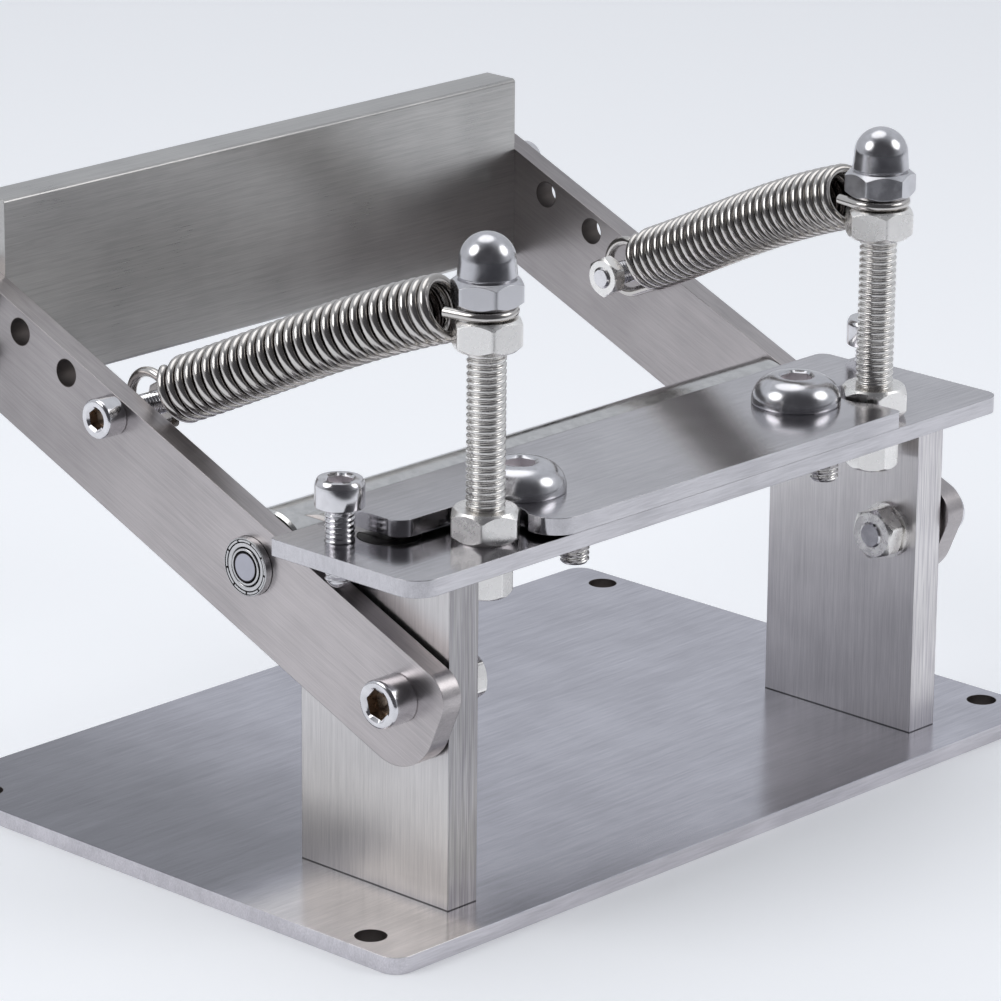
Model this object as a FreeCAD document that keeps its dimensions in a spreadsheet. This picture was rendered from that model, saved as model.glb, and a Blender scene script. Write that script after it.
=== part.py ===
import FreeCAD, Part, Sketcher
import math
import os

from FreeCAD import Placement, Rotation, Vector

# Bench leather splitter. The base plate carries two uprights, the uprights carry the bed, and the
# blade is clamped on the bed. A lever, hinged on the uprights, presses a roller up towards the
# blade's edge: two springs pull it up and two screws in the bed stop it.
# Frame: origin under the middle of the base plate, +X to the right, +Y to the handle, +Z up.

doc = FreeCAD.newDocument("LeatherSplitter")
sheet = doc.addObject("Spreadsheet::Sheet", "Sizes")

# Driving dimensions in millimetres and degrees. The places called _y are measured from the middle
# of the base, those called _x from the middle plane, and those called _z from the underside.
driving = {
    "base_width": 200, "base_depth": 136.8, "base_thick": 3.5, "base_corner": 4,
    "base_hole_dia": 6.3, "base_hole_side": 5.7, "base_hole_end": 12.5,
    "upright_thick": 8, "upright_front_y": -58, "upright_depth": 40.7, "upright_height": 68.5,
    "relief_depth": 3.7, "relief_height": 20, "relief_corner": 1.5,
    "bed_overhang": 7.65, "bed_depth": 40.1, "bed_thick": 3.5, "bed_front_y": -62.6,
    "bed_corner": 5.5, "bed_right_corner": 3.8, "bed_back_corner": 0.8,
    "blade_length": 147.6, "blade_overhang": 6.8, "blade_width": 23, "blade_thick": 1.1,
    "blade_edge_y": -17, "blade_bevel": 4, "blade_land": 0.08,
    "clamp_thick": 3.5, "clamp_back_y": -25.1, "clamp_front_y": -64.9, "tongue_overhang": 0.2,
    "clamp_inset": 6.5, "notch_radius": 8.4, "clamp_corner": 6, "clamp_right_corner": 1.2,
    "tongue_corner": 3.5, "tongue_back_corner": 2.5,
    "stud_inset": 8.1, "stud_y": -52, "stud_dia": 7.8, "stud_top_z": 133.6, "stud_chamfer": 0.8,
    "nut_flats": 13, "nut_height": 6.3, "low_nut_flats": 9.6, "low_nut_height": 8,
    "nut_chamfer": 1.35, "nut_slope": 0.8,
    "eye_nut_top_z": 120.25, "cap_nut_hex": 5.3, "cap_nut_height": 14.4, "cap_dome_dia": 11.6,
    "cap_neck": 0.4, "cap_nut_bore": 11.4,
    "clamp_screw_inset": 17, "clamp_screw_y": -45.1, "clamp_screw_dia": 8, "clamp_screw_end": 3.4,
    "clamp_head_dia": 18.7, "clamp_head_height": 5.8, "clamp_head_rim": 0.7,
    "clamp_head_flat": 8.6, "clamp_socket": 6, "clamp_socket_depth": 3.4,
    "heel_screw_inset": 20.9, "heel_screw_y": -56.4, "heel_screw_dia": 6, "heel_screw_length": 10,
    "heel_socket": 3, "heel_socket_depth": 3.5,
    "csk_dia": 6, "csk_head_dia": 12.4, "csk_rim": 0.25, "csk_length": 16,
    "csk_socket": 4, "csk_socket_depth": 2.4,
    "bed_screw_y": -37.7, "base_screw_front": 9, "base_screw_pitch": 22,
    "adjust_y": -33.1, "adjust_dia": 6, "adjust_head_dia": 10, "adjust_head_chamfer": 0.7,
    "adjust_head_height": 5.7, "adjust_socket": 5, "adjust_socket_depth": 3,
    "adjust_travel_gap": 7.05, "adjust_inset": 1, "adjust_tip_gap": 0.3,
    "pivot_y": -50.4, "pivot_z": 47.7, "pivot_dia": 6, "pivot_head_dia": 9.9,
    "pivot_head_height": 6.3, "pivot_socket": 5, "pivot_socket_depth": 3.2,
    "pivot_washer_dia": 12, "pivot_washer_thick": 1, "pivot_nut_flats": 10,
    "pivot_nut_height": 4.6, "pivot_end": 0.5,
    "arm_slope": 22.88, "arm_thick": 5, "arm_gap": 1, "arm_top": 9.4, "arm_width": 24,
    "arm_nose": 10.8, "nose_trim": 3, "arm_end": 143, "arm_corner": 5.8,
    "arm_low_corner": 10.8, "arm_end_corner": 6,
    "hole_row": 5.2, "spring_screw_at": 90, "spare_hole_pitch": 15, "spare_hole_dia": 5.7,
    "roller_at": 44.6, "roller_row": -0.1, "roller_dia": 20.2, "roller_gap": 0.6,
    "roller_edge": 0.6, "journal_dia": 6, "shoulder_dia": 7.4,
    "bearing_dia": 12, "bearing_width": 4, "bearing_seat": 2.3, "bearing_lip": 1,
    "ring_inner_dia": 10.3, "race_outer_dia": 7.4, "shield_thick": 0.3, "shield_gap": 0.2,
    "spring_screw_dia": 5, "spring_head_dia": 8.3, "spring_head_height": 4.9,
    "spring_socket": 4, "spring_socket_depth": 2.5, "spring_screw_reach": 12,
    "spring_nut_flats": 8, "spring_nut_height": 3.2,
    "spring_dia": 13.6, "spring_wire": 2.1, "spring_pitch": 2.52, "spring_neck": 8.6,
    "spring_lift": 1, "front_neck": 10.3, "front_lift": 3.6, "hook_slope": 49,
    "eye_inset": 4.2, "eye_slack": 0.2, "hook_tail": 5.3, "hook_lead": 2.2,
    "plate_front_y": 68, "plate_thick": 9.3, "plate_height": 41, "plate_top_z": 124,
    "plate_edge": 0.8, "plate_screw_dia": 5, "plate_head_dia": 8.5, "plate_head_height": 5,
    "plate_socket": 4, "plate_socket_depth": 2.5, "plate_screw_grip": 12,
    "plate_screw_low": 8, "plate_screw_pitch": 12,
    "thread_fit": 0.02, "running_fit": 0.05, "clear_fit": 0.25, "screw_chamfer": 0.6,
    "head_chamfer": 0.5, "drill_spare": 1,
}
for row, (alias, amount) in enumerate(driving.items(), start=1):
    sheet.set("A%d" % row, alias)
    sheet.set("B%d" % row, str(amount))
    sheet.setAlias("B%d" % row, alias)
doc.recompute()


class Size:
    """A number together with the sheet expression that it comes from."""

    def __init__(self, value, text):
        self.value = float(value)
        self.text = text

    def __add__(self, other):
        other = size(other)
        return Size(self.value + other.value, "(%s + %s)" % (self.text, other.text))

    def __sub__(self, other):
        other = size(other)
        return Size(self.value - other.value, "(%s - %s)" % (self.text, other.text))

    def __mul__(self, other):
        other = size(other)
        return Size(self.value * other.value, "(%s * %s)" % (self.text, other.text))

    def __truediv__(self, other):
        other = size(other)
        return Size(self.value / other.value, "(%s / %s)" % (self.text, other.text))

    def __neg__(self):
        return Size(-self.value, "(0 - %s)" % self.text)

    __radd__ = __add__
    __rmul__ = __mul__

    def __rsub__(self, other):
        return size(other) - self


def size(thing):
    """The Size of an alias in the sheet, or of a plain number."""
    if isinstance(thing, Size):
        return thing
    if isinstance(thing, str):
        return Size(sheet.get(thing), "Sizes." + thing)
    return Size(thing, "%.12g" % thing)


def cosine(angle):
    return Size(math.cos(math.radians(angle.value)), "cos(%s)" % angle.text)


def sine(angle):
    return Size(math.sin(math.radians(angle.value)), "sin(%s)" % angle.text)


def root(amount):
    return Size(math.sqrt(amount.value), "sqrt(%s)" % amount.text)


def bind(thing, field, amount):
    """Sets a property to a size and ties it to the sheet."""
    thing.setExpression(field, size(amount).text)


# ---- helpers for bodies, sketches and features ----

nodes = []
left, right = -1, 1
sides = {"left": left, "right": right}
outward = {left: Rotation(Vector(0, 1, 0), -90), right: Rotation(Vector(0, 1, 0), 90)}
downward = Rotation(Vector(1, 0, 0), 180)


def new_body(node):
    body = doc.addObject("PartDesign::Body", node)
    body.Label = node
    nodes.append(body)
    return body


def place(thing, x=0, y=0, z=0, turn=Rotation()):
    """Puts a body or a primitive at a point that follows the sheet."""
    x, y, z = size(x), size(y), size(z)
    thing.Placement = Placement(Vector(x.value, y.value, z.value), turn)
    bind(thing, "Placement.Base.x", x)
    bind(thing, "Placement.Base.y", y)
    bind(thing, "Placement.Base.z", z)


def origin_plane(body, role):
    return [item for item in body.Origin.OriginFeatures if item.Role == role][0]


def new_sketch(body, role):
    sketch = body.newObject("Sketcher::SketchObject", body.Label + "_sketch")
    sketch.AttachmentSupport = [(origin_plane(body, role), "")]
    sketch.MapMode = "FlatFace"
    return sketch


def pin_point(sketch, geometry, end, x, y):
    """Holds a sketch point at the distances x and y from the sketch's origin."""
    for kind, axis, amount in (("DistanceX", -2, x), ("DistanceY", -1, y)):
        if abs(amount.value) < 1e-9:
            sketch.addConstraint(Sketcher.Constraint("PointOnObject", geometry, end, axis))
            continue
        index = sketch.addConstraint(
            Sketcher.Constraint(kind, -1, 1, geometry, end, amount.value))
        bind(sketch, "Constraints[%d]" % index, amount)


def arc_between(start, end, radius, turn):
    """The arc of a radius from start to end, shorter than half a circle; turn is 1 for
    anticlockwise and -1 for clockwise."""
    middle = (start + end) / 2
    half = (end - start) / 2
    rise = math.sqrt(max(radius ** 2 - half.Length ** 2, 0))
    centre = middle + Vector(-half.y, half.x, 0).normalize() * rise * turn
    first, last = (start, end) if turn > 0 else (end, start)
    angles = [math.atan2(point.y - centre.y, point.x - centre.x) for point in (first, last)]
    return Part.ArcOfCircle(Part.Circle(centre, Vector(0, 0, 1), radius), angles[0], angles[1])


def draw_outline(sketch, corners):
    """Draws a closed outline. A corner is (x, y), or (x, y, radius, turn) where an arc leads on
    to the next corner."""
    corners = [[size(item) for item in corner] for corner in corners]
    points = [Vector(corner[0].value, corner[1].value, 0) for corner in corners]
    starts, ends = [], []
    for number, corner in enumerate(corners):
        start = points[number]
        end = points[(number + 1) % len(points)]
        if len(corner) == 2:
            index = sketch.addGeometry(Part.LineSegment(start, end), False)
            starts.append((index, 1))
            ends.append((index, 2))
            continue
        turn = corner[3].value
        arc = arc_between(start, end, corner[2].value, turn)
        index = sketch.addGeometry(arc, False)
        starts.append((index, 1 if turn > 0 else 2))
        ends.append((index, 2 if turn > 0 else 1))
    for number, corner in enumerate(corners):
        before = ends[number - 1]
        here = starts[number]
        sketch.addConstraint(
            Sketcher.Constraint("Coincident", before[0], before[1], here[0], here[1]))
    for number, corner in enumerate(corners):
        pin_point(sketch, starts[number][0], starts[number][1], corner[0], corner[1])
        if len(corner) > 2:
            index = sketch.addConstraint(
                Sketcher.Constraint("Radius", starts[number][0], corner[2].value))
            bind(sketch, "Constraints[%d]" % index, corner[2])


def draw_circle(sketch, x, y, diameter):
    x, y, diameter = size(x), size(y), size(diameter)
    circle = Part.Circle(Vector(x.value, y.value, 0), Vector(0, 0, 1), diameter.value / 2)
    index = sketch.addGeometry(circle, False)
    pin_point(sketch, index, 3, x, y)
    number = sketch.addConstraint(Sketcher.Constraint("Diameter", index, diameter.value))
    bind(sketch, "Constraints[%d]" % number, diameter)


def draw_hexagon(sketch, flats):
    """A hexagon about the sketch's origin with two flats parallel to its x axis."""
    corners = []
    for step in range(6):
        angle = math.radians(60 * step)
        corners.append((flats * (math.cos(angle) / math.sqrt(3)),
                        flats * (math.sin(angle) / math.sqrt(3))))
    draw_outline(sketch, corners)


def extrude(body, sketch, length, kind="PartDesign::Pad", against=False, middle=False):
    """Pads or pockets a sketch by a length; against turns the direction round."""
    feature = body.newObject(kind, body.Label + "_feature")
    feature.Profile = sketch
    feature.Reversed = against
    if middle:
        feature.SideType = "Symmetric"
    bind(feature, "Length", length)
    return feature


def turned(body, corners):
    """Revolves an outline of (radius, height) corners about the body's Z axis."""
    sketch = new_sketch(body, "XZ_Plane")
    draw_outline(sketch, corners)
    feature = body.newObject("PartDesign::Revolution", body.Label + "_turned")
    feature.Profile = sketch
    feature.ReferenceAxis = (sketch, ["V_Axis"])
    feature.Angle = 360
    return feature


def bore(body, diameter, depth, x=0, y=0, z=0, turn=Rotation()):
    """Cuts a round hole from a point, along the turned Z axis."""
    hole = body.newObject("PartDesign::SubtractiveCylinder", body.Label + "_bore")
    bind(hole, "Radius", size(diameter) / 2)
    bind(hole, "Height", depth)
    place(hole, x, y, z, turn)
    return hole


def countersink(body, narrow, x, y, z, turn):
    """Cuts a 90 degree seat for a countersunk head whose top is at a point, going along the
    turned Z down to a hole's diameter."""
    wide = size("csk_head_dia") + (size("csk_rim") + fit) * 2
    sink = body.newObject("PartDesign::SubtractiveCone", body.Label + "_countersink")
    bind(sink, "Radius1", wide / 2)
    bind(sink, "Radius2", narrow / 2)
    bind(sink, "Height", (wide - narrow) / 2)
    place(sink, x, y, z, turn)
    return sink


def socket(body, flats, depth, z):
    """Cuts a hexagon socket of a depth into the face at height z."""
    sketch = new_sketch(body, "XY_Plane")
    sketch.AttachmentOffset = Placement(Vector(0, 0, size(z).value), Rotation())
    bind(sketch, "AttachmentOffset.Base.z", z)
    draw_hexagon(sketch, size(flats))
    return extrude(body, sketch, depth, "PartDesign::Pocket")


def round_edges(body, places, radius, along):
    """Fillets the straight edges that run along a direction through the named places."""
    doc.recompute()
    base = body.Tip
    names = []
    for spot in places:
        spot = Vector(*[size(item).value for item in spot])
        for number, edge in enumerate(base.Shape.Edges, start=1):
            if len(edge.Vertexes) != 2 or edge.Curve.TypeId != "Part::GeomLine":
                continue
            offset = edge.Vertexes[0].Point - spot
            parallel = abs(abs(edge.tangentAt(edge.FirstParameter).dot(along)) - 1) < 1e-6
            if parallel and (offset - along * offset.dot(along)).Length < 1e-4:
                names.append("Edge%d" % number)
    if len(names) < len(places):
        raise ValueError("a corner to be rounded is missing on " + body.Label)
    fillet = body.newObject("PartDesign::Fillet", body.Label + "_fillet")
    fillet.Base = (base, names)
    bind(fillet, "Radius", radius)
    doc.recompute()
    return fillet


X, Z = Vector(1, 0, 0), Vector(0, 0, 1)
fit = size("thread_fit")
chamfer = size("screw_chamfer")
nut_slope = size("nut_slope")

# Tools that trim a hexagon reach this far past its corners.
overshoot = 1.2

# ---- widths that follow the blade's length, and heights that stack up from the base ----

upright_inner_x = size("blade_length") / 2 - size("blade_overhang")
upright_mid_x = upright_inner_x + size("upright_thick") / 2
upright_outer_x = upright_inner_x + size("upright_thick")
arm_inner_x = upright_outer_x + size("arm_gap")
arm_outer_x = arm_inner_x + size("arm_thick")
stud_x = upright_inner_x - size("stud_inset")
clamp_screw_x = stud_x - size("clamp_screw_inset")
heel_screw_x = stud_x - size("heel_screw_inset")
adjust_x = arm_outer_x - size("adjust_inset")

base_top = size("base_thick")
bed_low = base_top + size("upright_height")
bed_top = bed_low + size("bed_thick")
clamp_low = bed_top + size("blade_thick")
clamp_top = clamp_low + size("clamp_thick")
slope = size("arm_slope")
pivot_y, pivot_z = size("pivot_y"), size("pivot_z")
base_screw_spots = [size("upright_front_y") + size("base_screw_front"),
                    size("upright_front_y") + size("base_screw_front") + size("base_screw_pitch")]


def along_arm(distance, height):
    """The y and z of a point that lies a distance from the pivot along the arm, and a height
    above the line through the pivot."""
    distance, height = size(distance), size(height)
    y = pivot_y + distance * cosine(slope) - height * sine(slope)
    z = pivot_z + distance * sine(slope) + height * cosine(slope)
    return y, z


def on_arm(y, z):
    """The place of a point at y and z in the arm's own axes."""
    y, z = size(y) - pivot_y, size(z) - pivot_z
    return y * cosine(slope) + z * sine(slope), z * cosine(slope) - y * sine(slope)


# ---- base, uprights, bed ----

def make_base_plate():
    body = new_body("base_plate")
    half_x, half_y = size("base_width") / 2, size("base_depth") / 2
    sketch = new_sketch(body, "XY_Plane")
    draw_outline(sketch, [(-half_x, -half_y), (half_x, -half_y), (half_x, half_y),
                          (-half_x, half_y)])
    hole_x, hole_y = half_x - size("base_hole_side"), half_y - size("base_hole_end")
    for x in (-hole_x, hole_x):
        for y in (-hole_y, hole_y):
            draw_circle(sketch, x, y, "base_hole_dia")
    extrude(body, sketch, "base_thick")
    round_edges(body, [(x, y, 0) for x in (-half_x, half_x) for y in (-half_y, half_y)],
                "base_corner", Z)
    clear_dia = size("csk_dia") + size("clear_fit") * 2
    for x in (-upright_mid_x, upright_mid_x):
        for y in base_screw_spots:
            bore(body, clear_dia, base_top, x, y, 0)
            countersink(body, clear_dia, x, y, 0, Rotation())


def make_upright(side):
    body = new_body("upright_" + side)
    front, depth = size("upright_front_y"), size("upright_depth")
    height = size("upright_height")
    step_y, step_z = depth - size("relief_depth"), height - size("relief_height")
    sketch = new_sketch(body, "YZ_Plane")
    draw_outline(sketch, [(0, 0), (depth, 0), (depth, step_z), (step_y, step_z),
                          (step_y, height), (0, height)])
    draw_circle(sketch, pivot_y - front, pivot_z - base_top, size("pivot_dia") + fit * 2)
    extrude(body, sketch, "upright_thick")
    round_edges(body, [(0, step_y, step_z)], "relief_corner", X)
    middle = size("upright_thick") / 2
    tapped = size("csk_dia") + fit * 2
    bed_screw = size("bed_screw_y") - front
    bed_screw_depth = size("csk_length") - size("bed_thick") + size("drill_spare")
    base_screw_depth = size("csk_length") - base_top + size("drill_spare")
    bore(body, tapped, bed_screw_depth, middle, bed_screw, height, downward)
    for spot in base_screw_spots:
        bore(body, tapped, base_screw_depth, middle, spot - front, 0)
    place(body, -upright_outer_x if side == "left" else upright_inner_x, front, base_top)


def make_bed_plate():
    body = new_body("bed_plate")
    half, front = arm_outer_x + size("bed_overhang"), size("bed_front_y")
    back = front + size("bed_depth")
    sketch = new_sketch(body, "XY_Plane")
    draw_outline(sketch, [(-half, front), (half, front), (half, back), (-half, back)])
    tapped = [(stud_x, "stud_y", "stud_dia"),
              (clamp_screw_x, "clamp_screw_y", "clamp_screw_dia"),
              (heel_screw_x, "heel_screw_y", "heel_screw_dia"),
              (adjust_x, "adjust_y", "adjust_dia")]
    for x, y, diameter in tapped:
        for sign in (left, right):
            draw_circle(sketch, x * sign, y, size(diameter) + fit * 2)
    extrude(body, sketch, "bed_thick")
    round_edges(body, [(-half, front, 0)], "bed_corner", Z)
    round_edges(body, [(half, front, 0)], "bed_right_corner", Z)
    round_edges(body, [(-half, back, 0), (half, back, 0)], "bed_back_corner", Z)
    clear_dia = size("csk_dia") + size("clear_fit") * 2
    for x in (-upright_mid_x, upright_mid_x):
        bore(body, clear_dia, "bed_thick", x, "bed_screw_y", 0)
        countersink(body, clear_dia, x, "bed_screw_y", "bed_thick", downward)
    place(body, 0, 0, bed_low)


# ---- blade and its clamp ----

def make_blade():
    body = new_body("blade")
    thick, edge = size("blade_thick"), size("blade_edge_y")
    sketch = new_sketch(body, "YZ_Plane")
    draw_outline(sketch, [(edge - size("blade_width"), 0), (edge, 0), (edge, "blade_land"),
                          (edge - size("blade_bevel"), thick),
                          (edge - size("blade_width"), thick)])
    extrude(body, sketch, "blade_length", middle=True)
    place(body, 0, 0, bed_top)


def make_clamp_plate():
    body = new_body("clamp_plate")
    radius, inset = size("notch_radius"), size("clamp_inset")
    wide, tongue = stud_x - inset, size("blade_length") / 2 + size("tongue_overhang")
    front, back = size("clamp_front_y"), size("clamp_back_y")
    cusp = size("stud_y") - root(radius * radius - inset * inset)
    tongue_y = size("stud_y") + radius
    sketch = new_sketch(body, "XY_Plane")
    draw_outline(sketch, [(-wide, front), (wide, front), (wide, cusp, radius, -1),
                          (stud_x, tongue_y), (tongue, tongue_y), (tongue, back),
                          (-tongue, back), (-tongue, tongue_y), (-stud_x, tongue_y, radius, -1),
                          (-wide, cusp)])
    for sign in (left, right):
        draw_circle(sketch, clamp_screw_x * sign, "clamp_screw_y",
                    size("clamp_screw_dia") + size("clear_fit") * 2)
    extrude(body, sketch, "clamp_thick")
    round_edges(body, [(-wide, front, 0)], "clamp_corner", Z)
    round_edges(body, [(wide, front, 0)], "clamp_right_corner", Z)
    round_edges(body, [(-tongue, tongue_y, 0), (tongue, tongue_y, 0)], "tongue_corner", Z)
    round_edges(body, [(-tongue, back, 0), (tongue, back, 0)], "tongue_back_corner", Z)
    place(body, 0, 0, clamp_low)


def make_clamp_screw(side):
    """A button-head screw through the clamp, tapped into the bed."""
    body = new_body("clamp_screw_" + side)
    head, height = size("clamp_head_dia") / 2, size("clamp_head_height")
    rim, shank = size("clamp_head_rim"), size("clamp_screw_dia") / 2
    flat = size("clamp_head_flat") / 2
    rise = height - rim
    span = head - flat
    dome = (span * span + rise * rise) / (rise * 2)
    length = size("clamp_thick") + size("blade_thick") + size("bed_thick") + size("clamp_screw_end")
    turned(body, [(0, -length), (shank - chamfer, -length), (shank, chamfer - length),
                  (shank, 0), (head, 0), (head, rim, dome, 1), (flat, height), (0, height)])
    socket(body, "clamp_socket", "clamp_socket_depth", height)
    place(body, clamp_screw_x * sides[side], "clamp_screw_y", clamp_top)


def make_heel_screw(side):
    """A set screw, tapped into the bed from below, that props the clamp's front."""
    body = new_body("heel_screw_" + side)
    radius, length = size("heel_screw_dia") / 2, size("heel_screw_length")
    turned(body, [(0, 0), (radius - chamfer, 0), (radius, chamfer), (radius, length - chamfer),
                  (radius - chamfer, length), (0, length)])
    socket(body, "heel_socket", "heel_socket_depth", length)
    place(body, heel_screw_x * sides[side], "heel_screw_y", clamp_low, downward)


def countersunk_screw(node, x, y, z, turn):
    """A countersunk screw whose head is flush with a face at z."""
    body = new_body(node)
    head, shank, length = size("csk_head_dia") / 2, size("csk_dia") / 2, size("csk_length")
    rim = size("csk_rim")
    slant = head - shank
    turned(body, [(0, -length), (shank - chamfer, -length), (shank, chamfer - length),
                  (shank, -rim - slant), (head, -rim), (head, 0), (0, 0)])
    socket(body, "csk_socket", "csk_socket_depth", 0)
    place(body, x, y, z, turn)
    return body


# ---- studs and their nuts ----

def make_stud(side):
    body = new_body("stud_" + side)
    radius, cut = size("stud_dia") / 2, size("stud_chamfer")
    low = bed_low - size("low_nut_height")
    length = size("stud_top_z") - low
    turned(body, [(0, 0), (radius - cut, 0), (radius, cut), (radius, length - cut),
                  (radius - cut, length), (0, length)])
    place(body, stud_x * sides[side], "stud_y", low)


def hexagon_nut(node, flats, height, bore_dia, x, y, z, turn, tilt=Rotation()):
    """A nut on its own Z axis with both ends chamfered; turn is its angle about that axis."""
    body = new_body(node)
    flats, height = size(flats), size(height)
    sketch = new_sketch(body, "XY_Plane")
    draw_hexagon(sketch, flats)
    extrude(body, sketch, height)
    corner = flats / math.sqrt(3)
    reach = corner * overshoot
    cut = size("nut_chamfer") * flats / size("nut_flats")
    drop = (reach - corner + cut) * nut_slope
    profile = new_sketch(body, "XZ_Plane")
    for low, inner in ((0, drop), (height, height - drop)):
        draw_outline(profile, [(corner - cut, low), (reach, low), (reach, inner)])
    groove = body.newObject("PartDesign::Groove", node + "_chamfers")
    groove.Profile = profile
    groove.ReferenceAxis = (profile, ["V_Axis"])
    groove.Angle = 360
    bore(body, bore_dia, height)
    place(body, x, y, z, tilt * Rotation(Z, turn))
    return body


def make_cap_nut(side, turn):
    """A domed nut: a hexagon, a neck and a dome in one turned profile, cut to the flats."""
    body = new_body("cap_nut_" + side)
    corner = size("nut_flats") / math.sqrt(3)
    cut, hexagon, height = size("nut_chamfer"), size("cap_nut_hex"), size("cap_nut_height")
    drop = cut * nut_slope
    dome, neck = size("cap_dome_dia") / 2, size("cap_neck")
    turned(body, [(0, 0), (corner - cut, 0), (corner, drop), (corner, hexagon - drop),
                  (corner - cut, hexagon), (dome - neck / 2, hexagon),
                  (dome - neck / 2, hexagon + neck), (dome, hexagon + neck),
                  (dome, height - dome, dome, 1), (0, height)])
    ring = new_sketch(body, "XY_Plane")
    draw_circle(ring, 0, 0, corner * overshoot * 2)
    draw_hexagon(ring, size("nut_flats"))
    extrude(body, ring, hexagon, "PartDesign::Pocket", against=True)
    bore(body, size("stud_dia") + fit * 2, "cap_nut_bore")
    place(body, stud_x * sides[side], "stud_y", eye_top, Rotation(Z, turn))


eye_low = size("eye_nut_top_z")
eye_top = eye_low + size("spring_wire") + size("eye_slack") * 2


# ---- lever: arms, bearings, roller, handle plate ----

def make_arm(side):
    body = new_body("arm_" + side)
    top, low = size("arm_top"), size("arm_top") - size("arm_width")
    nose, end, row = -size("arm_nose"), size("arm_end"), size("hole_row")
    if side == "right":
        nose = nose + size("nose_trim")
    thick = size("arm_thick")
    sketch = new_sketch(body, "YZ_Plane")
    draw_outline(sketch, [(nose, low), (end, low), (end, top), (nose, top)])
    draw_circle(sketch, 0, 0, size("pivot_dia") + size("running_fit") * 2)
    draw_circle(sketch, "roller_at", "roller_row",
                size("bearing_dia") - size("bearing_lip") * 2)
    draw_circle(sketch, "spring_screw_at", row, size("spring_screw_dia") + fit * 2)
    for step in (1, 2):
        draw_circle(sketch, size("spring_screw_at") + size("spare_hole_pitch") * step, row,
                    "spare_hole_dia")
    for y, z in plate_screw_spots:
        at, height = on_arm(y, z)
        draw_circle(sketch, at, height, size("plate_screw_dia") + size("clear_fit") * 2)
    extrude(body, sketch, thick)
    round_edges(body, [(0, nose, top)], "arm_corner", X)
    round_edges(body, [(0, nose, low)], "arm_low_corner", X)
    round_edges(body, [(0, end, low), (0, end, top)], "arm_end_corner", X)
    seat = size("bearing_seat")
    bore(body, size("bearing_dia") + fit * 2, seat, 0 if side == "left" else thick - seat,
         "roller_at", "roller_row", outward[right])
    place(body, -arm_outer_x if side == "left" else arm_inner_x, pivot_y, pivot_z)
    body.Placement.Rotation = Rotation(X, slope.value)
    bind(body, "Placement.Rotation.Angle", slope)


plate_screw_y = size("plate_front_y") + size("plate_thick") / 2
plate_low = size("plate_top_z") - size("plate_height")
plate_screw_spots = [
    (plate_screw_y, plate_low + size("plate_screw_low")),
    (plate_screw_y, plate_low + size("plate_screw_low") + size("plate_screw_pitch"))]


def make_handle_plate():
    body = new_body("handle_plate")
    thick, height = size("plate_thick"), size("plate_height")
    sketch = new_sketch(body, "YZ_Plane")
    draw_outline(sketch, [(0, 0), (thick, 0), (thick, height), (0, height)])
    extrude(body, sketch, arm_inner_x * 2, middle=True)
    round_edges(body, [(0, 0, 0), (0, thick, 0), (0, 0, height), (0, thick, height)],
                "plate_edge", X)
    depth = size("plate_screw_grip") + size("drill_spare")
    for y, z in plate_screw_spots:
        for sign in (left, right):
            bore(body, size("plate_screw_dia") + fit * 2, depth, arm_inner_x * sign,
                 y - size("plate_front_y"), z - plate_low, outward[-sign])
    place(body, 0, "plate_front_y", plate_low)


def cap_screw(body, head_dia, head_height, shank_dia, length, flats, depth):
    """A socket head screw: the head stands on z = 0 and the shank goes down."""
    head, height, shank = size(head_dia) / 2, size(head_height), size(shank_dia) / 2
    edge, length = size("head_chamfer"), size(length)
    turned(body, [(0, -length), (shank - chamfer, -length), (shank, chamfer - length),
                  (shank, 0), (head, 0), (head, height - edge), (head - edge, height),
                  (0, height)])
    socket(body, flats, depth, height)


def bearing_axis(body, side, x):
    y, z = along_arm("roller_at", "roller_row")
    place(body, x * sides[side], y, z, outward[sides[side]])


bearing_in_x = arm_outer_x - size("bearing_seat")


def make_bearing(side):
    """The outer ring carries a shield at each face; the inner ring sits on the journal."""
    width, outer, inner = size("bearing_width"), size("bearing_dia") / 2, size("ring_inner_dia") / 2
    race, shield, gap = size("race_outer_dia") / 2, size("shield_thick"), size("shield_gap")
    ring = new_body("bearing_ring_" + side)
    lip = race + gap
    turned(ring, [(outer, 0), (outer, width), (inner, width), (inner, width - gap),
                  (lip, width - gap), (lip, width - gap - shield), (inner, width - gap - shield),
                  (inner, gap + shield), (lip, gap + shield), (lip, gap), (inner, gap),
                  (inner, 0)])
    bearing_axis(ring, side, bearing_in_x)
    race_body = new_body("bearing_race_" + side)
    hole = size("journal_dia") / 2 + fit
    turned(race_body, [(hole, 0), (race, 0), (race, width), (hole, width)])
    bearing_axis(race_body, side, bearing_in_x)


def make_roller():
    """A solid roller with a shoulder and a journal turned on each end."""
    body = new_body("roller")
    half = arm_inner_x - size("roller_gap")
    radius, edge = size("roller_dia") / 2, size("roller_edge")
    shoulder, journal = size("shoulder_dia") / 2, size("journal_dia") / 2
    seat, end = bearing_in_x, bearing_in_x + size("bearing_width")
    turned(body, [(0, -end), (journal, -end), (journal, -seat), (shoulder, -seat),
                  (shoulder, -half), (radius - edge, -half), (radius, edge - half),
                  (radius, half - edge), (radius - edge, half), (shoulder, half),
                  (shoulder, seat), (journal, seat), (journal, end), (0, end)])
    bearing_axis(body, "right", size(0))


# ---- pivots, adjusting screws, spring screws ----

pivot_nut_turn = 10


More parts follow.
